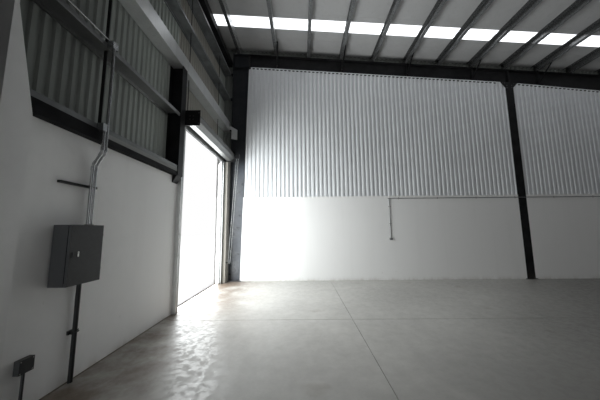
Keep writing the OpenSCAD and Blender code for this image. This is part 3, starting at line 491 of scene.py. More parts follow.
def powder_coat(tint, name="textured powder coat"):
    """Textured paint, paler on the faces that look to the near side, as painted light."""
    f = Finish(name, specular=0.3)
    film = f.effect("film", Scale=420.0)
    f.tones(film["Tone"], tint, 0.52, 0.7)
    # Painted light: faces that look to the near side are paler.
    f.lay(spread(f.tree, facing(f.tree)[1], -0.9, -0.4, 1.0, 0.0), tint, 3.1)
    f.lay(f.mask("dust", Amount=0.2), (0.22, 0.21, 0.19))
    f.lay(f.mask("wear", Scale=60.0, Amount=0.4), tint, 2.6)
    return f.end_film(film, 0.36, 0.2, 0.0006, 0.12)


def rubber(tint=(0.03, 0.03, 0.032)):
    f = Finish("black rubber", specular=0.3)
    grain = f.mask("mottle", Scale=30.0)
    f.tones(grain, tint, 1.0, 2.2)
    return f.end(spread(f.tree, grain, 0.0, 1.0, 0.62, 0.8), grain, 0.2, 0.0005)


def gritty_filler(name, dark, light):
    f = Finish(name, specular=0.3)
    grit = f.mask("mottle", Scale=18.0)
    f.base = blend(f.tree, grit, rgb(dark), rgb(light))
    return f.end(0.8, grit, 0.3, 0.001)


def make_finishes(c):
    """One material per record slot, those of the nodes with a finish of their own, and those of the fittings."""
    make_groups()
    black = shade(c.dark_steel, 0.5)
    bleached = tuple(v * k for v, k in zip(c.grey_sheet, (1.9, 1.72, 1.65)))
    FINISHES.update({
        "concrete": trowelled_concrete(c.concrete),
        "plaster": painted_plaster(c.plaster),
        "pier": painted_plaster(c.plaster, "half painted and shaded plaster", (0.34, 0.325, 0.29)),
        "dark_steel": shop_primer(black, specular=0.12),
        "sill": sill_primer(black, (0.27, 0.275, 0.265)),
        "column": shop_primer((0.058, 0.066, 0.08), "blue black column primer", rough=0.26, specular=0.5,
                              shaded_from=3.5),
        "girt_steel": shop_primer(c.girt_steel, "grey girt paint", dust=0.1, rough=0.3, specular=0.5),
        "dark bolts": shop_primer((0.05, 0.05, 0.052), "painted fixings", dust=0.1, rough=0.35),
        "galvanised": zinc(c.zinc, "weathered zinc", metal=0.7),
        "beam zinc": zinc(shade(c.zinc, 1.2), "dusty beam zinc", metal=0.45),
        "guide zinc": zinc(c.zinc, "guide zinc", metal=0.5, painted_side_light=(2.6, 0.55)),
        "purlin zinc": zinc(shade(c.zinc, 0.55), "dulled purlin zinc", rough=0.24, metal=0.7, painted_side_light=(0.45, 1.6)),
        "girt zinc": zinc(shade(c.zinc, 0.3), "dulled girt zinc", dust=0.12, doorway_lit_tint=shade(c.zinc, 0.62)),
        "shutter": zinc(shade(c.shutter, 0.25), "shutter slat zinc", 70.0, 0.34, 0.55),
        "conduit": zinc(shade(c.conduit, 0.9), "drawn conduit zinc", 600.0, 0.2, 0.85, 0.1),
        "aged conduit": zinc(shade(c.conduit, 0.5), "aged conduit zinc", 600.0, dust=0.1),
        "chain": zinc(c.chain, "chain zinc", 200.0, 0.4, 0.85),
        "bolts": zinc((0.34, 0.335, 0.32), "plated fixings", 260.0, 0.42, 0.8),
        "bright": zinc((0.62, 0.62, 0.6), "bright lock metal", 300.0, 0.22, 0.9),
        "white_sheet": coil_coating(shade(c.white_sheet, 0.97), "white coil coating", laps=1.104, dirt=0.18,
                                    rough=0.38),
        "grey_sheet": coil_coating(c.grey_sheet, "grey backing coat", dirt=0.45, rough=0.55),
        "over door": coil_coating(bleached, "dusty grey backing coat", dirt=0.35, rough=0.55),
        "door side": coil_coating(c.grey_sheet, "doorway lit backing coat", dirt=0.45, rough=0.55,
                                  doorway_lit_tint=shade(c.grey_sheet, 2.1)),
        "roof_sheet": coil_coating(shade(c.roof_sheet, 0.82), "pale roof coating", dirt=0.22),
        "skylight": skylight_sheet(c.skylight),
        "cabinet": powder_coat(c.cabinet),
        "pvc": powder_coat((0.02, 0.021, 0.022), "dark feed pipe coating"),
        # Near-black foam, whose colour is also painted shade.
        "foam": gritty_filler("closure foam and painted shade", (0.012, 0.012, 0.013), (0.03, 0.03, 0.03)),
        "sealant": gritty_filler("aged joint sealant", (0.11, 0.1, 0.085), (0.24, 0.21, 0.17)),
        "rubber": rubber(),
    })


# Trees that grow what repeats or follows a path.

def grow_tree(name, sizes, build):
    """A geometry tree with an input for each of sizes, ending in Realize Instances and Set Material."""
    tree = bpy.data.node_groups.new(name, "GeometryNodeTree")
    face = tree.interface
    face.new_socket("Geometry", in_out="INPUT", socket_type="NodeSocketGeometry")
    for label, default in sizes.items():
        face.new_socket(label, in_out="INPUT", socket_type=FLOAT).default_value = default
    face.new_socket("Finish", in_out="INPUT", socket_type="NodeSocketMaterial")
    face.new_socket("Geometry", in_out="OUTPUT", socket_type="NodeSocketGeometry")
    source, sink = tree.nodes.new("NodeGroupInput").outputs, tree.nodes.new("NodeGroupOutput")
    real = out(tree, "GeometryNodeRealizeInstances", Geometry=build(tree, source))
    done = out(tree, "GeometryNodeSetMaterial", Geometry=real, Material=source["Finish"])
    tree.links.new(done, sink.inputs[0])
    TREES[name] = tree


def vector_of(t, **parts):
    return out(t, "ShaderNodeCombineXYZ", **parts)


def moved(t, part, **how):
    return out(t, "GeometryNodeTransform", Geometry=part, **how)


def smooth(t, part):
    return out(t, "GeometryNodeSetShadeSmooth", Geometry=part)


def swept(t, path, profile, **ends):
    return out(t, "GeometryNodeCurveToMesh", Curve=path, Profile_Curve=profile, **ends)


def ring(t, points, radius):
    return put(t, "GeometryNodeCurvePrimitiveCircle", {"mode": "RADIUS"}, Resolution=points,
               Radius=radius).outputs[0]


def oblong(t, width, height):
    return put(t, "GeometryNodeCurvePrimitiveQuadrilateral", {"mode": "RECTANGLE"}, Width=width,
               Height=height).outputs[0]


def block(t, x, y, z):
    return out(t, "GeometryNodeMeshCube", Size=vector_of(t, X=x, Y=y, Z=z))


def can(t, sides, radius, depth, lift):
    """An upright cylinder whose foot stands at lift."""
    made = out(t, "GeometryNodeMeshCylinder", Vertices=sides, Radius=radius, Depth=depth)
    return moved(t, made, Translation=vector_of(t, Z=plus(t, times(t, depth, 0.5), lift)))


def joined(t, *parts):
    made = put(t, "GeometryNodeJoinGeometry")
    for part in parts:
        t.links.new(part, made.inputs[0])
    return made.outputs[0]


def on_points(t, i, part):
    """Instances of part on the tree's points, turned by their own attribute."""
    turn = put(t, "GeometryNodeInputNamedAttribute", {"data_type": "FLOAT_VECTOR"}, Name="turn").outputs["Attribute"]
    as_turn = out(t, "FunctionNodeEulerToRotation", Euler=turn)
    return out(t, "GeometryNodeInstanceOnPoints", Points=i["Geometry"], Instance=part, Rotation=as_turn)


def bolt_build(t, i):
    """A washer, a six-sided head and the thread's end."""
    radius, height = i["Radius"], i["Height"]
    washer = can(t, 12, times(t, radius, 1.55), times(t, height, 0.22), 0.0)
    head = can(t, 6, radius, height, times(t, height, 0.2))
    stud = can(t, 8, times(t, radius, 0.55), i["Thread"], height)
    return on_points(t, i, joined(t, washer, head, stud))


def screw_build(t, i):
    """A sealing washer and a six-sided head."""
    radius = i["Radius"]
    cap = can(t, 10, times(t, radius, 1.9), times(t, radius, 0.5), 0.0)
    head = can(t, 6, radius, times(t, radius, 0.9), times(t, radius, 0.5))
    return on_points(t, i, joined(t, cap, head))


def bar_build(t, i):
    """Round bars lying along the points' own Z, centred on them."""
    bar = out(t, "GeometryNodeMeshCylinder", Vertices=8, Radius=i["Radius"], Depth=i["Length"])
    return on_points(t, i, smooth(t, bar))


def rib_build(t, i):
    """Flat strips: Width along the points' X, Rise along Y and Length along Z."""
    return on_points(t, i, block(t, i["Width"], i["Rise"], i["Length"]))


def saddle_build(t, i):
    """A strap bent over a pipe, with two ears and screws. Z faces out of the wall, X runs along the pipe."""
    width, quarter, sheet = i["Width"], math.pi / 2, 0.0025
    arc = put(t, "GeometryNodeCurveArc", {"mode": "RADIUS"}, Resolution=9, Radius=i["Pipe Radius"],
              Start_Angle=0.0, Sweep_Angle=math.pi).outputs[0]
    band = moved(t, oblong(t, width, sheet), Rotation=(0, 0, quarter))
    parts = [swept(t, moved(t, arc, Rotation=(quarter, 0, quarter)), band, Fill_Caps=True)]
    reach = plus(t, i["Pipe Radius"], 0.011)
    for side in (-1.0, 1.0):
        spot = vector_of(t, Y=times(t, reach, side), Z=0.0015)
        parts += [moved(t, part, Translation=spot)
                  for part in (block(t, width, 0.024, sheet), can(t, 6, 0.0045, 0.004, 0.0015))]
    return on_points(t, i, joined(t, *parts))


def link_build(t, i):
    """Chain links: a rounded loop of wire standing on its end."""
    loop = put(t, "GeometryNodeFilletCurve", {"mode": "POLY"}, Curve=oblong(t, i["Width"], i["Length"]), Count=3,
               Radius=times(t, i["Width"], 0.49)).outputs[0]
    loop = moved(t, loop, Rotation=(math.pi / 2, 0, 0))
    return on_points(t, i, smooth(t, swept(t, loop, ring(t, 5, i["Wire"]))))


def bead_build(t, i):
    """A round bead along the mesh's edges."""
    line = out(t, "GeometryNodeMeshToCurve", Mesh=i["Geometry"])
    return smooth(t, swept(t, line, ring(t, 6, i["Radius"]), Fill_Caps=True))


def make_trees():
    for name, sizes, build in (
            ("bolts", {"Radius": 0.018, "Height": 0.015, "Thread": 0.01}, bolt_build),
            ("screws", {"Radius": 0.005}, screw_build),
            ("bars", {"Radius": 0.006, "Length": 1.0}, bar_build),
            ("ribs", {"Width": 0.02, "Rise": 0.004, "Length": 1.0}, rib_build),
            ("saddles", {"Pipe Radius": 0.012, "Width": 0.02}, saddle_build),
            ("links", {"Length": 0.03, "Width": 0.018, "Wire": 0.0025}, link_build),
            ("beads", {"Radius": 0.004}, bead_build)):
        grow_tree(name, sizes, build)


def turn_to(out, along=None):
    """Euler angles that take Z to out, and X as near as may be to along."""
    z = Vector(out).normalized()
    guide = Vector(along) if along is not None else Vector(UP if abs(z.z) < 0.9 else RIGHT)
    x = (guide - guide.dot(z) * z).normalized()
    return Matrix((x, z.cross(x), z)).transposed().to_euler("XYZ")


def grown(name, tree, mesh, finish, slot, body="hall", **inputs):
    """Runs a tree once on a mesh and keeps the result as a plain piece that rides on body."""
    piece = bpy.data.objects.new(name, mesh)
    bpy.context.scene.collection.objects.link(piece)
    mod = piece.modifiers.new("grow", "NODES")
    mod.node_group = TREES[tree]
    wanted = {key.replace("_", " "): value for key, value in inputs.items()}
    wanted["Finish"] = FINISHES[finish]
    for item in TREES[tree].interface.items_tree:
        if item.item_type == "SOCKET" and item.in_out == "INPUT" and item.name in wanted:
            mod[item.identifier] = wanted.pop(item.name)
    if wanted:
        raise RuntimeError(f"{tree} has no input named {sorted(wanted)}")
    bpy.context.view_layer.update()
    result = bpy.data.meshes.new_from_object(piece.evaluated_get(bpy.context.evaluated_depsgraph_get()))
    piece.modifiers.clear()
    piece.data = result
    if not result.polygons:
        raise RuntimeError(f"{name} came out empty")
    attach(piece, body)
    return piece


def set_on(spots, name, tree, finish, slot, body="hall", **inputs):
    """Grows a tree's parts on spots. A spot is a point, the way out of the surface and, if it matters, the way of X."""
    mesh = bpy.data.meshes.new(name)
    mesh.from_pydata([tuple(s[0]) for s in spots], [], [])
    turn = mesh.attributes.new("turn", "FLOAT_VECTOR", "POINT")
    for index, spot in enumerate(spots):
        turn.data[index].vector = turn_to(*spot[1:])
    return grown(name, tree, mesh, finish, slot, body, **inputs)


def run_along(runs, name, finish, slot, radius, body="hall"):
    """Grows round beads along polylines."""
    points, edges = [], []
    for run in runs:
        edges += [(len(points) + k, len(points) + k + 1) for k in range(len(run) - 1)]
        points += [tuple(p) for p in run]
    mesh = bpy.data.meshes.new(name)
    mesh.from_pydata(points, edges, [])
    return grown(name, "beads", mesh, finish, slot, body, Radius=radius)


# What a user would change.

def length(name, default, text):
    return bpy.props.FloatProperty(name=name, default=default, unit="LENGTH", description=text)


def colour(name, slot, text):
    return bpy.props.FloatVectorProperty(name=name, subtype="COLOR", size=3, min=0, max=1, default=TINT[slot][:3],
                                         description=text)


class HallSizes(bpy.types.PropertyGroup):
    frame_bolt: length("Frame bolt", 0.019, "Head radius of the bolts in the portal frames")
    purlin_bolt: length("Purlin bolt", 0.011, "Head radius of the bolts in purlins, seats and braces")
    sheet_screw: length("Sheet screw", 0.0055, "Head radius of the screws in the sheets")
    slat_curl: length("Slat curl", 0.006, "Radius of the curls between the shutter's slats")
    link_length: length("Chain link", 0.034, "Length of a link of the hand chain")
    link_wire: length("Chain wire", 0.0028, "Radius of the hand chain's wire")
    saddle_gap: length("Saddle spacing", 1.25, "Spacing of the saddles on the gable wall's conduit")
    weld: length("Weld bead", 0.005, "Radius of the weld beads")


class HallColours(bpy.types.PropertyGroup):
    concrete: colour("Concrete", "concrete", "Trowelled floor")
    plaster: colour("Plaster", "plaster", "Painted dado walls")
    dark_steel: colour("Primer", "dark_steel", "Columns, rafters and posts")
    girt_steel: colour("Girt paint", "girt_steel", "Painted girts")
    zinc: colour("Zinc", "galvanised", "Purlins, guides and head beam")
    white_sheet: colour("White coating", "white_sheet", "Sheets on the inside of the gable wall")
    grey_sheet: colour("Grey backing", "grey_sheet", "Sheets of the door wall")
    roof_sheet: colour("Roof coating", "roof_sheet", "Roof panels")
    skylight: colour("Roof light", "skylight", "Translucent strip")
    shutter: colour("Shutter", "shutter", "Slats and bottom bar")
    cabinet: colour("Cabinet", "cabinet", "Cabinet and outlet box")
    conduit: colour("Conduit", "conduit", "Conduits and strut")
    chain: colour("Chain", "chain", "Hand chain")


# Pieces.

class HALL_OT_finishes(bpy.types.Operator):
    """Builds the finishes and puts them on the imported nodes"""
    bl_idname = "hall.finishes"
    bl_label = "Finishes"

    def execute(self, context):
        make_finishes(context.scene.hall_colours)
        make_trees()
        for name, node in NODES.items():
            node.data.materials.clear()
            node.data.materials.append(FINISHES[OWN_FINISH.get(name, SLOT_OF[name])])
        return {"FINISHED"}


class HALL_OT_frame_bolts(bpy.types.Operator):
    """Bolts in the rafters' end plates, the columns' base plates and the gable post's gusset"""
    bl_idname = "hall.frame_bolts"
    bl_label = "Frame bolts"

    def execute(self, context):
        head = context.scene.hall_sizes.frame_bolt
        for label, y in zip(("near", "back"), FRAME_YS):
            spots = []
            for x, way in KNEES:
                low, top = rafter_low(x), rafter_top(x)
                rows = [low - 0.032] + [low + 0.07 + k * (top - low - 0.14) / 4 for k in range(5)]
                behind = x - way * (PLATE_T + STIFFENER_T)
                for face, out, zs in ((x, way, rows), (behind, -way, rows[1:])):
                    spots += [(at(face, y + side, z), (out, 0, 0)) for z in zs for side in (-0.058, 0.058)]
            for x, way in FEET:
                spots += [(at(x + way * dx, y + side, PLATE_T), UP) for dx in (0.09, 0.285) for side in (-0.06, 0.06)]
            set_on(spots, f"{label}_frame_bolts", "bolts", "dark bolts", "dark_steel", Radius=head, Height=0.015,
                   Thread=0.014)
        spots = [(at(POST_X + dx, BACK_Y, rafter_low(POST_X + dx) - 0.035), NEAR) for dx in (-0.23, -0.16, 0.16, 0.23)]
        for x in (POST_X - 0.085, POST_X + 0.085):
            spots += [(at(x, BACK_Y, rafter_low(POST_X) - dz), NEAR) for dz in (0.11, 0.19)]
            spots.append((at(x, BACK_Y - 0.02, PLATE_T), UP))
        set_on(spots, "gable_post_bolts", "bolts", "dark bolts", "dark_steel", Radius=head * 0.8, Height=0.012,
               Thread=0.01)
        return {"FINISHED"}


class HALL_OT_roof_bolts(bpy.types.Operator):
    """Bolts in the purlins' seats and at both ends of the fly braces"""
    bl_idname = "hall.roof_bolts"
    bl_label = "Purlin and brace bolts"

    def execute(self, context):
        spots = [(on_roof(x, y + side, SEAT_T + SKIN), ROOF_UP)
                 for x in PURLINS for y in FRAME_YS for side in (-0.035, 0.035)]
        for x in BRACED:
            face = x + (PURLIN_B / 2 + BRACE_T + 0.0003) * ACROSS
            foot = 0.06 - (rafter_top(x) - rafter_low(x)) * ACROSS
            run = SEAT_T + PURLIN_D / 2 - foot
            for y, way in ((BACK_Y + 0.06, -1), (0.04, 1)):
                spots += [(on_roof(face, y + way * run * part, foot + run * part), ROOF_ALONG) for part in (0.09, 0.93)]
        set_on(spots, "purlin_bolts", "bolts", "bolts", "galvanised", Radius=context.scene.hall_sizes.purlin_bolt,
               Height=0.008, Thread=0.006)
        return {"FINISHED"}


class HALL_OT_sheet_screws(bpy.types.Operator):
    """Screws that hold the ribbed sheets to girts and purlins, and the foam blocks under the rafter, whose near-black
    colour is also painted shade in the pans
    """
    bl_idname = "hall.sheet_screws"
    bl_label = "Sheet screws"

    def execute(self, context):
        head = context.scene.hall_sizes.sheet_screw

        def screws(spots, name, finish="bolts", slot="galvanised", size=1.0):
            set_on(spots, name, "screws", finish, slot, Radius=head * size)

        spots = []
        for y0, y1, foot in ((NEAR_Y, DOOR_Y0, SHEET_FOOT), (DOOR_Y0, DOOR_Y1, DOOR_H),
                             (DOOR_Y1, BACK_OUT, SHEET_FOOT)):
            for y in rib_lines(y0, y1, DOOR_RIB)[::2]:
                y = min(max(y, y0 + SHEET_EDGE), y1 - SHEET_EDGE)
                spots += [(at(SHEET_X - SKIN, y, z), LEFT) for z in DOOR_SCREW_ZS if z > foot]
        screws(spots, "door_wall_screws")
        spots = []
        for x in rib_lines(SHEET_X, LOW_X, GABLE_RIB)[::2]:
            x = min(max(x, SHEET_X + SHEET_EDGE), LOW_X - SHEET_EDGE)
            spots += [(at(x, BACK_OUT + SKIN, z), BACK) for z in GABLE_SCREW_ZS if z < rafter_low(x) - 0.1]
        screws(spots, "gable_screws")
        top = SEAT_T + PURLIN_D + 0.03 + 0.038
        screws([(on_roof(x, y + ROOF_RIB / 2, top), ROOF_UP)
                for y0, y1 in ROOF_SHEETS for y in rib_lines(y0, y1, ROOF_RIB)[:-1] for x in PURLINS],
               "roof_screws", size=1.1)
        ribs = rib_lines(0, LOW_X, GABLE_RIB)
        screws([(at(x, LINER_Y, z), NEAR) for x in ribs[4:-5] if abs(x - POST_X) > 0.2 and x > 0.75
                for z in LINER_SCREW_ZS if z < rafter_low(x) - 0.1],
               "liner_screws", "white_sheet", "white_sheet", 0.8)
        # Foam blocks in the pans under the closure; their near-black colour also stands in for the shade there.
        set_on([(at(x, BACK_Y + 0.024, rafter_low(x) - 0.036), ROOF_DOWN, ROOF_ALONG)
                for x in ribs[5:-6] if abs(x - POST_X) > 0.34],
               "foam_and_painted_shade", "ribs", "foam", "dark_steel", Width=0.08, Rise=0.022, Length=0.026)
        return {"FINISHED"}


class HALL_OT_shutter(bpy.types.Operator):
    """Curls and ribs of the slats on the roll, the curtain's tail, the bottom seal and the bolts around them"""
    bl_idname = "hall.shutter"
    bl_label = "Rolled shutter"

    def execute(self, context):
        curl = context.scene.hall_sizes.slat_curl
        low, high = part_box("shutter_roll")
        wide = high.y - low.y - 0.024
        axis = at(ROLL_X, 0, ROLL_Z)
        axis.y = (low.y + high.y) / 2

        def spoke(degrees):
            return Vector((math.cos(math.radians(degrees)), 0, math.sin(math.radians(degrees))))

        corners_at = [(axis + spoke(22.5 + 45 * k) * (ROLL_R - 0.005), BACK) for k in range(8)]
        set_on(corners_at, "slat_curls", "bars", "shutter", "shutter", Radius=curl, Length=wide)
        flat = ROLL_R * math.cos(math.radians(22.5))
        ribs = [(axis + spoke(45 * k) * flat + spoke(45 * k + 90) * off, BACK, spoke(45 * k + 90))
                for k in range(8) for off in (-0.03, 0.03)]
        set_on(ribs, "slat_ribs", "ribs", "shutter", "shutter", Width=0.022, Rise=0.005, Length=wide)
        low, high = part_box("shutter_bottom_bar")
        mid, wide = (low + high) / 2, high.y - low.y - 0.01
        set_on([(Vector((mid.x, mid.y, low.z + 0.002)), BACK)], "bottom_bar_seal", "bars", "rubber", "dark_steel",
               Radius=0.012, Length=wide)
        tail = [(Vector((high.x - 0.001, mid.y, low.z + 0.115 + 0.04 * k)), BACK) for k in range(3)]
        set_on(tail, "curtain_curls", "bars", "shutter", "shutter", Radius=curl, Length=wide)
        spots = []
        for y, out in ((DOOR_Y0 - 0.045, NEAR), (DOOR_Y1 + 0.045, BACK)):
            spots += [(at(x, y, z), out) for x in (0.03, 0.37) for z in (3.805, 4.035)]
            spots += [(at(ROLL_X + 0.05 * math.cos(a), y, ROLL_Z + 0.05 * math.sin(a)), out)
                      for a in (0.8, 2.35, 3.9, 5.5)]
        set_on(spots, "end_plate_bolts", "bolts", "dark bolts", "dark_steel", Radius=0.011, Height=0.008, Thread=0.006)
        spots = [(at(0.07, y, 0.25 + 0.42 * k), RIGHT) for y in (DOOR_Y0 - 0.03, DOOR_Y1 + 0.03) for k in range(9)]
        set_on(spots, "guide_screws", "screws", "bolts", "galvanised", Radius=0.007)
        return {"FINISHED"}


class HALL_OT_chain(bpy.types.Operator):
    """Links of the hand chain, one fixed loop from the hoist down to its hook"""
    bl_idname = "hall.chain"
    bl_label = "Hand chain"

    def execute(self, context):
        s = context.scene.hall_sizes
        top, low, bend = Vector((0.47, 6.491, 3.85)), Vector((0.27, 6.55, 0.62)), 0.03
        run = top - low
        around = Matrix.Rotation(math.atan2(run.x, run.z), 3, "Y")
        turned = around @ Matrix.Rotation(-math.atan2(run.y, math.hypot(run.x, run.z)), 3, "X")
        straight, half = run.length, math.pi * bend
        count = int((2 * straight + half) / (s.link_length - 4 * s.link_wire))
        spots = []
        for k in range(count):
            d = (k + 0.5) * (2 * straight + half) / count
            if d < straight:
                p, way = Vector((-bend, 0, straight - d)), Vector(DOWN)
            elif d < straight + half:
                a = (d - straight) / bend
                p, way = Vector((-math.cos(a), 0, -math.sin(a))) * bend, Vector((math.sin(a), 0, -math.cos(a)))
            else:
                p, way = Vector((bend, 0, d - straight - half)), Vector(UP)
            flat = Vector(BACK) if k % 2 else Vector((way.z, 0, -way.x))
            spots.append((ORIGIN + low + turned @ p, turned @ way, turned @ flat))
        piece = set_on(spots, "chain_links", "links", "chain", "chain", Length=s.link_length,
                       Width=s.link_length * 0.58, Wire=s.link_wire)
        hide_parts("hand_chain")
        return {"FINISHED"}


class HALL_OT_conduit_fittings(bpy.types.Operator):
    """Saddles, straps, lock nuts and screws of the conduits"""
    bl_idname = "hall.conduit_fittings"
    bl_label = "Conduit fittings"

    def execute(self, context):
        low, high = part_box("back_wall_conduit")
        spot, spots = at(0, BACK_Y - 0.011, 2.565), []
        spot.x = low.x + 0.35
        while spot.x < high.x:
            spots.append((spot.copy(), NEAR, RIGHT))
            spot.x += context.scene.hall_sizes.saddle_gap
        spots += [(at(5.34, BACK_Y - 0.011, z), NEAR, UP) for z in (1.75, 2.3)]
        set_on(spots, "gable_conduit_saddles", "saddles", "bolts", "conduit", Pipe_Radius=0.0115, Width=0.018)
        set_on([(at(PIPE_X, y, STRUT_Z), RIGHT, UP) for y in PIPE_YS], "strut_straps", "saddles", "dark bolts",
               "conduit", Pipe_Radius=0.0178, Width=0.022)
        set_on([(at(FEED_X, FEED_Y, 0.507), RIGHT, UP)], "feed_strap", "saddles", "dark bolts", "conduit",
               Pipe_Radius=0.0233, Width=0.034)
        nuts = [(at(PIPE_X, y, CABINET_TOP), UP) for y in PIPE_YS] + [(at(FEED_X, FEED_Y, CABINET_LOW), DOWN)]
        set_on(nuts, "conduit_lock_nuts", "bolts", "bolts", "conduit", Radius=0.0295, Height=0.01, Thread=0.004)
        lids = ((0.173, (1.564, 1.604), (2.771, 2.841)), (0.173, (1.608, 1.672), (3.866, 3.936)),
                (0.05, (1.059, 1.161), (0.352, 0.448)))
        set_on([(at(x, y, z), RIGHT) for x, ys, zs in lids for y in ys for z in zs], "box_lid_screws", "screws",
               "bolts", "conduit", Radius=0.003)
        return {"FINISHED"}


class HALL_OT_cabinet(bpy.types.Operator):
    """Gasket, lock and corner screws of the electrical cabinet"""
    bl_idname = "hall.cabinet"
    bl_label = "Cabinet fittings"

    def execute(self, context):
        y0, y1, z0, z1 = 1.257, 1.643, CABINET_LOW + 0.012, CABINET_TOP - 0.012
        gasket = [at(LEAF_BACK, y, z) for y, z in ((y0, z0), (y1, z0), (y1, z1), (y0, z1), (y0, z0))]
        run_along([gasket], "door_gasket", "rubber", "cabinet", 0.003, "cabinet_leaf")
        lock_y, lock_z = 1.348, 1.347
        set_on([(at(LEAF_FACE + 0.002, lock_y, lock_z), UP, BACK)], "lock_plate", "ribs", "bright", "cabinet",
               "cabinet_leaf", Width=0.018, Rise=0.006, Length=0.052)
        set_on([(at(LEAF_FACE + 0.005, lock_y, lock_z + 0.01), RIGHT)], "lock_key", "bolts", "bright", "cabinet",
               "cabinet_leaf", Radius=0.005, Height=0.004, Thread=0.002)
        set_on([(at(LEAF_FACE, 1.285, z), RIGHT) for z in (1.1, 1.58)], "door_studs", "screws", "dark bolts",
               "cabinet", "cabinet_leaf", Radius=0.004)
        set_on([(at(0.004, y, z), RIGHT) for y in (1.29, 1.61) for z in (1.09, 1.59)], "cabinet_wall_bolts", "bolts",
               "bolts", "cabinet", Radius=0.007, Height=0.006, Thread=0.004)
        return {"FINISHED"}


class HALL_OT_seams(bpy.types.Operator):
    """Sealant in the floor's saw cuts and along the door wall's foot, and weld beads on the frames"""
    bl_idname = "hall.seams"
    bl_label = "Seams and welds"

    def execute(self, context):
        cut, down = 3.384, -0.011
        cuts = [[at(i * cut, NEAR_Y - 0.05, down), at(i * cut, 6.65, down)] for i in range(1, 6)]
        cuts.append([at(0.1, cut, down), at(LOW_X + 0.04, cut, down)])
        run_along(cuts, "joint_sealant", "sealant", "concrete", 0.0039)
        end = DOOR_Y0 - 0.1
        set_on([(at(0.0105, (NEAR_Y + end) / 2, 0.001), BACK, RIGHT)], "wall_joint", "ribs", "sealant", "concrete",
               Width=0.02, Rise=0.004, Length=end - NEAR_Y)
        welds = []
        for y in (frame_y + side for frame_y in FRAME_YS for side in (-WEB_HALF, WEB_HALF)):
            welds += [[at(x + way * 0.015, y, PLATE_T), at(x + way * (FOOT_W - 0.015), y, PLATE_T)]
                      for x, way in FEET]
            welds += [[at(x, y, rafter_low(x) + 0.02), at(x, y, rafter_top(x) - 0.02)] for x, _ in KNEES]
            z = rafter_low(KNEE_X)
            welds.append([at(COLUMN_X + 0.015, y, z), at(KNEE_X - 0.015, y, z)])
        run_along(welds, "weld_beads", "dark_steel", "dark_steel", context.scene.hall_sizes.weld)
        return {"FINISHED"}


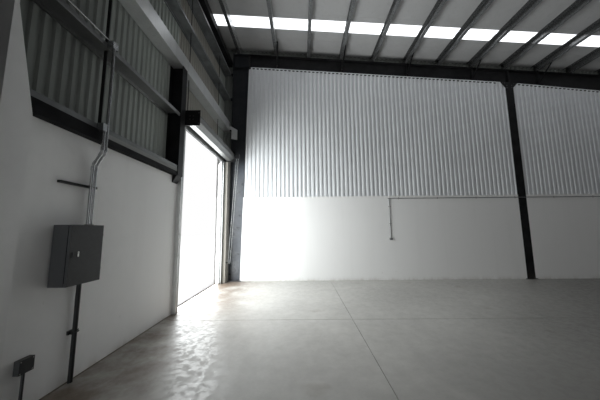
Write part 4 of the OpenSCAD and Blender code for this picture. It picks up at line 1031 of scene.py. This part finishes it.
class HALL_OT_stage(bpy.types.Operator):
    """Pale floor, sky, lamps and the camera"""
    bl_idname = "hall.stage"
    bl_label = "Stage, lamps and camera"

    def execute(self, context):
        scene = context.scene
        self.ground(scene)
        self.sky(scene)
        for name, settings in LAMPS.items():
            self.lamp(scene, name, *settings)
        self.camera(scene)
        scene.view_settings.view_transform = "Standard"
        return {"FINISHED"}

    def ground(self, scene):
        """The floor shows white to the camera far off and beyond the doorway, and pale grey beside the hall."""
        mesh = bpy.data.meshes.new("stage_floor")
        mesh.from_pydata([(-90, -90, -0.001), (90, -90, -0.001), (90, 90, -0.001), (-90, 90, -0.001)], [],
                         [(0, 1, 2, 3)])
        pale = Finish("pale ground", specular=0.2)
        tree = pale.tree
        seen = put(tree, "ShaderNodeLightPath").outputs["Is Camera Ray"]
        away = put(tree, "ShaderNodeVectorMath", {"operation": "LENGTH"})
        feed(tree, away.inputs[0], pale.place)
        bright = sums(tree, "MAXIMUM", spread(tree, away.outputs["Value"], 14.0, 36.0),
                      spread(tree, pale.hall()[0], -1.0, -0.2, 1.0, 0.0))
        lift = blend(tree, bright, (0.56, 0.56, 0.56, 1), (1, 1, 1, 1))
        feed(tree, pale.shader.inputs["Emission Color"], blend(tree, seen, (0, 0, 0, 1), lift))
        pale.shader.inputs["Emission Strength"].default_value = 1.0
        pale.tones(noise(tree, pale.place, 0.3, 3), (1, 1, 1), 0.52, 0.58)
        mesh.materials.append(pale.end(0.85))
        floor = bpy.data.objects.new("stage_floor", mesh)
        scene.collection.objects.link(floor)

    def sky(self, scene):
        """A world that shows white and lights the hall at the level of SKY."""
        world = bpy.data.worlds.new("sky")
        world.use_nodes = True
        tree = world.node_tree
        tree.nodes.clear()
        path = put(tree, "ShaderNodeLightPath").outputs
        seen = sums(tree, "MAXIMUM", path["Is Camera Ray"], path["Is Transmission Ray"])
        level = plus(tree, times(tree, seen, 1 - SKY), SKY)
        sky = out(tree, "ShaderNodeBackground", Color=(1, 1, 1, 1), Strength=level)
        put(tree, "ShaderNodeOutputWorld", Surface=sky)
        scene.world = world

    def lamp(self, scene, name, place, target, wide, tall, radiance, degrees=180.0, tint=(1.0, 1.0, 1.0)):
        """A rectangle that faces target, level along its width, seen only by the light it gives."""
        data = bpy.data.lights.new(name, "AREA")
        data.shape, data.size, data.size_y, data.energy = "RECTANGLE", wide, tall, radiance * math.pi * wide * tall
        data.color, data.spread = tint, math.radians(degrees)
        lamp = bpy.data.objects.new(name, data)
        lamp.location = at(*place)
        lamp.rotation_euler = (Vector(target) - Vector(place)).to_track_quat("-Z", "Y").to_euler()
        lamp.visible_camera = False
        scene.collection.objects.link(lamp)

    def camera(self, scene):
        cam = bpy.data.cameras.new("photo_view")
        cam.sensor_width, cam.lens, cam.clip_start, cam.clip_end = SENSOR, SENSOR * FOCAL_PX / FRAME_PX, 0.05, 400.0
        yaw, pitch, roll = (math.radians(v) for v in (YAW, PITCH, ROLL))
        ahead = Vector((math.sin(yaw) * math.cos(pitch), math.cos(yaw) * math.cos(pitch), math.sin(pitch)))
        right = Vector((math.cos(yaw), -math.sin(yaw), 0))
        leaned = right * math.cos(roll) + right.cross(ahead) * math.sin(roll)
        turn = Matrix((leaned, leaned.cross(ahead), -ahead)).transposed().to_4x4()
        eye = bpy.data.objects.new("photo_view", cam)
        eye.matrix_world = Matrix.Translation(at(*EYE)) @ turn
        scene.collection.objects.link(eye)
        scene.camera = eye


class HALL_PT_panel(bpy.types.Panel):
    """The hall's sizes, colours and pieces"""
    bl_idname = "HALL_PT_panel"
    bl_label = "Hall bay"
    bl_space_type = "VIEW_3D"
    bl_region_type = "UI"
    bl_category = "Hall bay"

    def draw(self, context):
        for group in (context.scene.hall_sizes, context.scene.hall_colours):
            box = self.layout.box()
            for key in group.__annotations__:
                box.prop(group, key)
        for kind in OPERATORS:
            self.layout.operator(kind.bl_idname)


OPERATORS = (HALL_OT_finishes, HALL_OT_frame_bolts, HALL_OT_roof_bolts, HALL_OT_sheet_screws, HALL_OT_shutter,
             HALL_OT_chain, HALL_OT_conduit_fittings, HALL_OT_cabinet, HALL_OT_seams, HALL_OT_stage)
CLASSES = (HallSizes, HallColours) + OPERATORS + (HALL_PT_panel,)


def register():
    for kind in CLASSES:
        bpy.utils.register_class(kind)
    bpy.types.Scene.hall_sizes = bpy.props.PointerProperty(type=HallSizes)
    bpy.types.Scene.hall_colours = bpy.props.PointerProperty(type=HallColours)


def unregister():
    del bpy.types.Scene.hall_colours
    del bpy.types.Scene.hall_sizes
    for kind in reversed(CLASSES):
        bpy.utils.unregister_class(kind)


def main():
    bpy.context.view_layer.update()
    register()
    for kind in OPERATORS:
        group, name = kind.bl_idname.split(".")
        getattr(getattr(bpy.ops, group), name)()


if __name__ == "__main__":
    main()
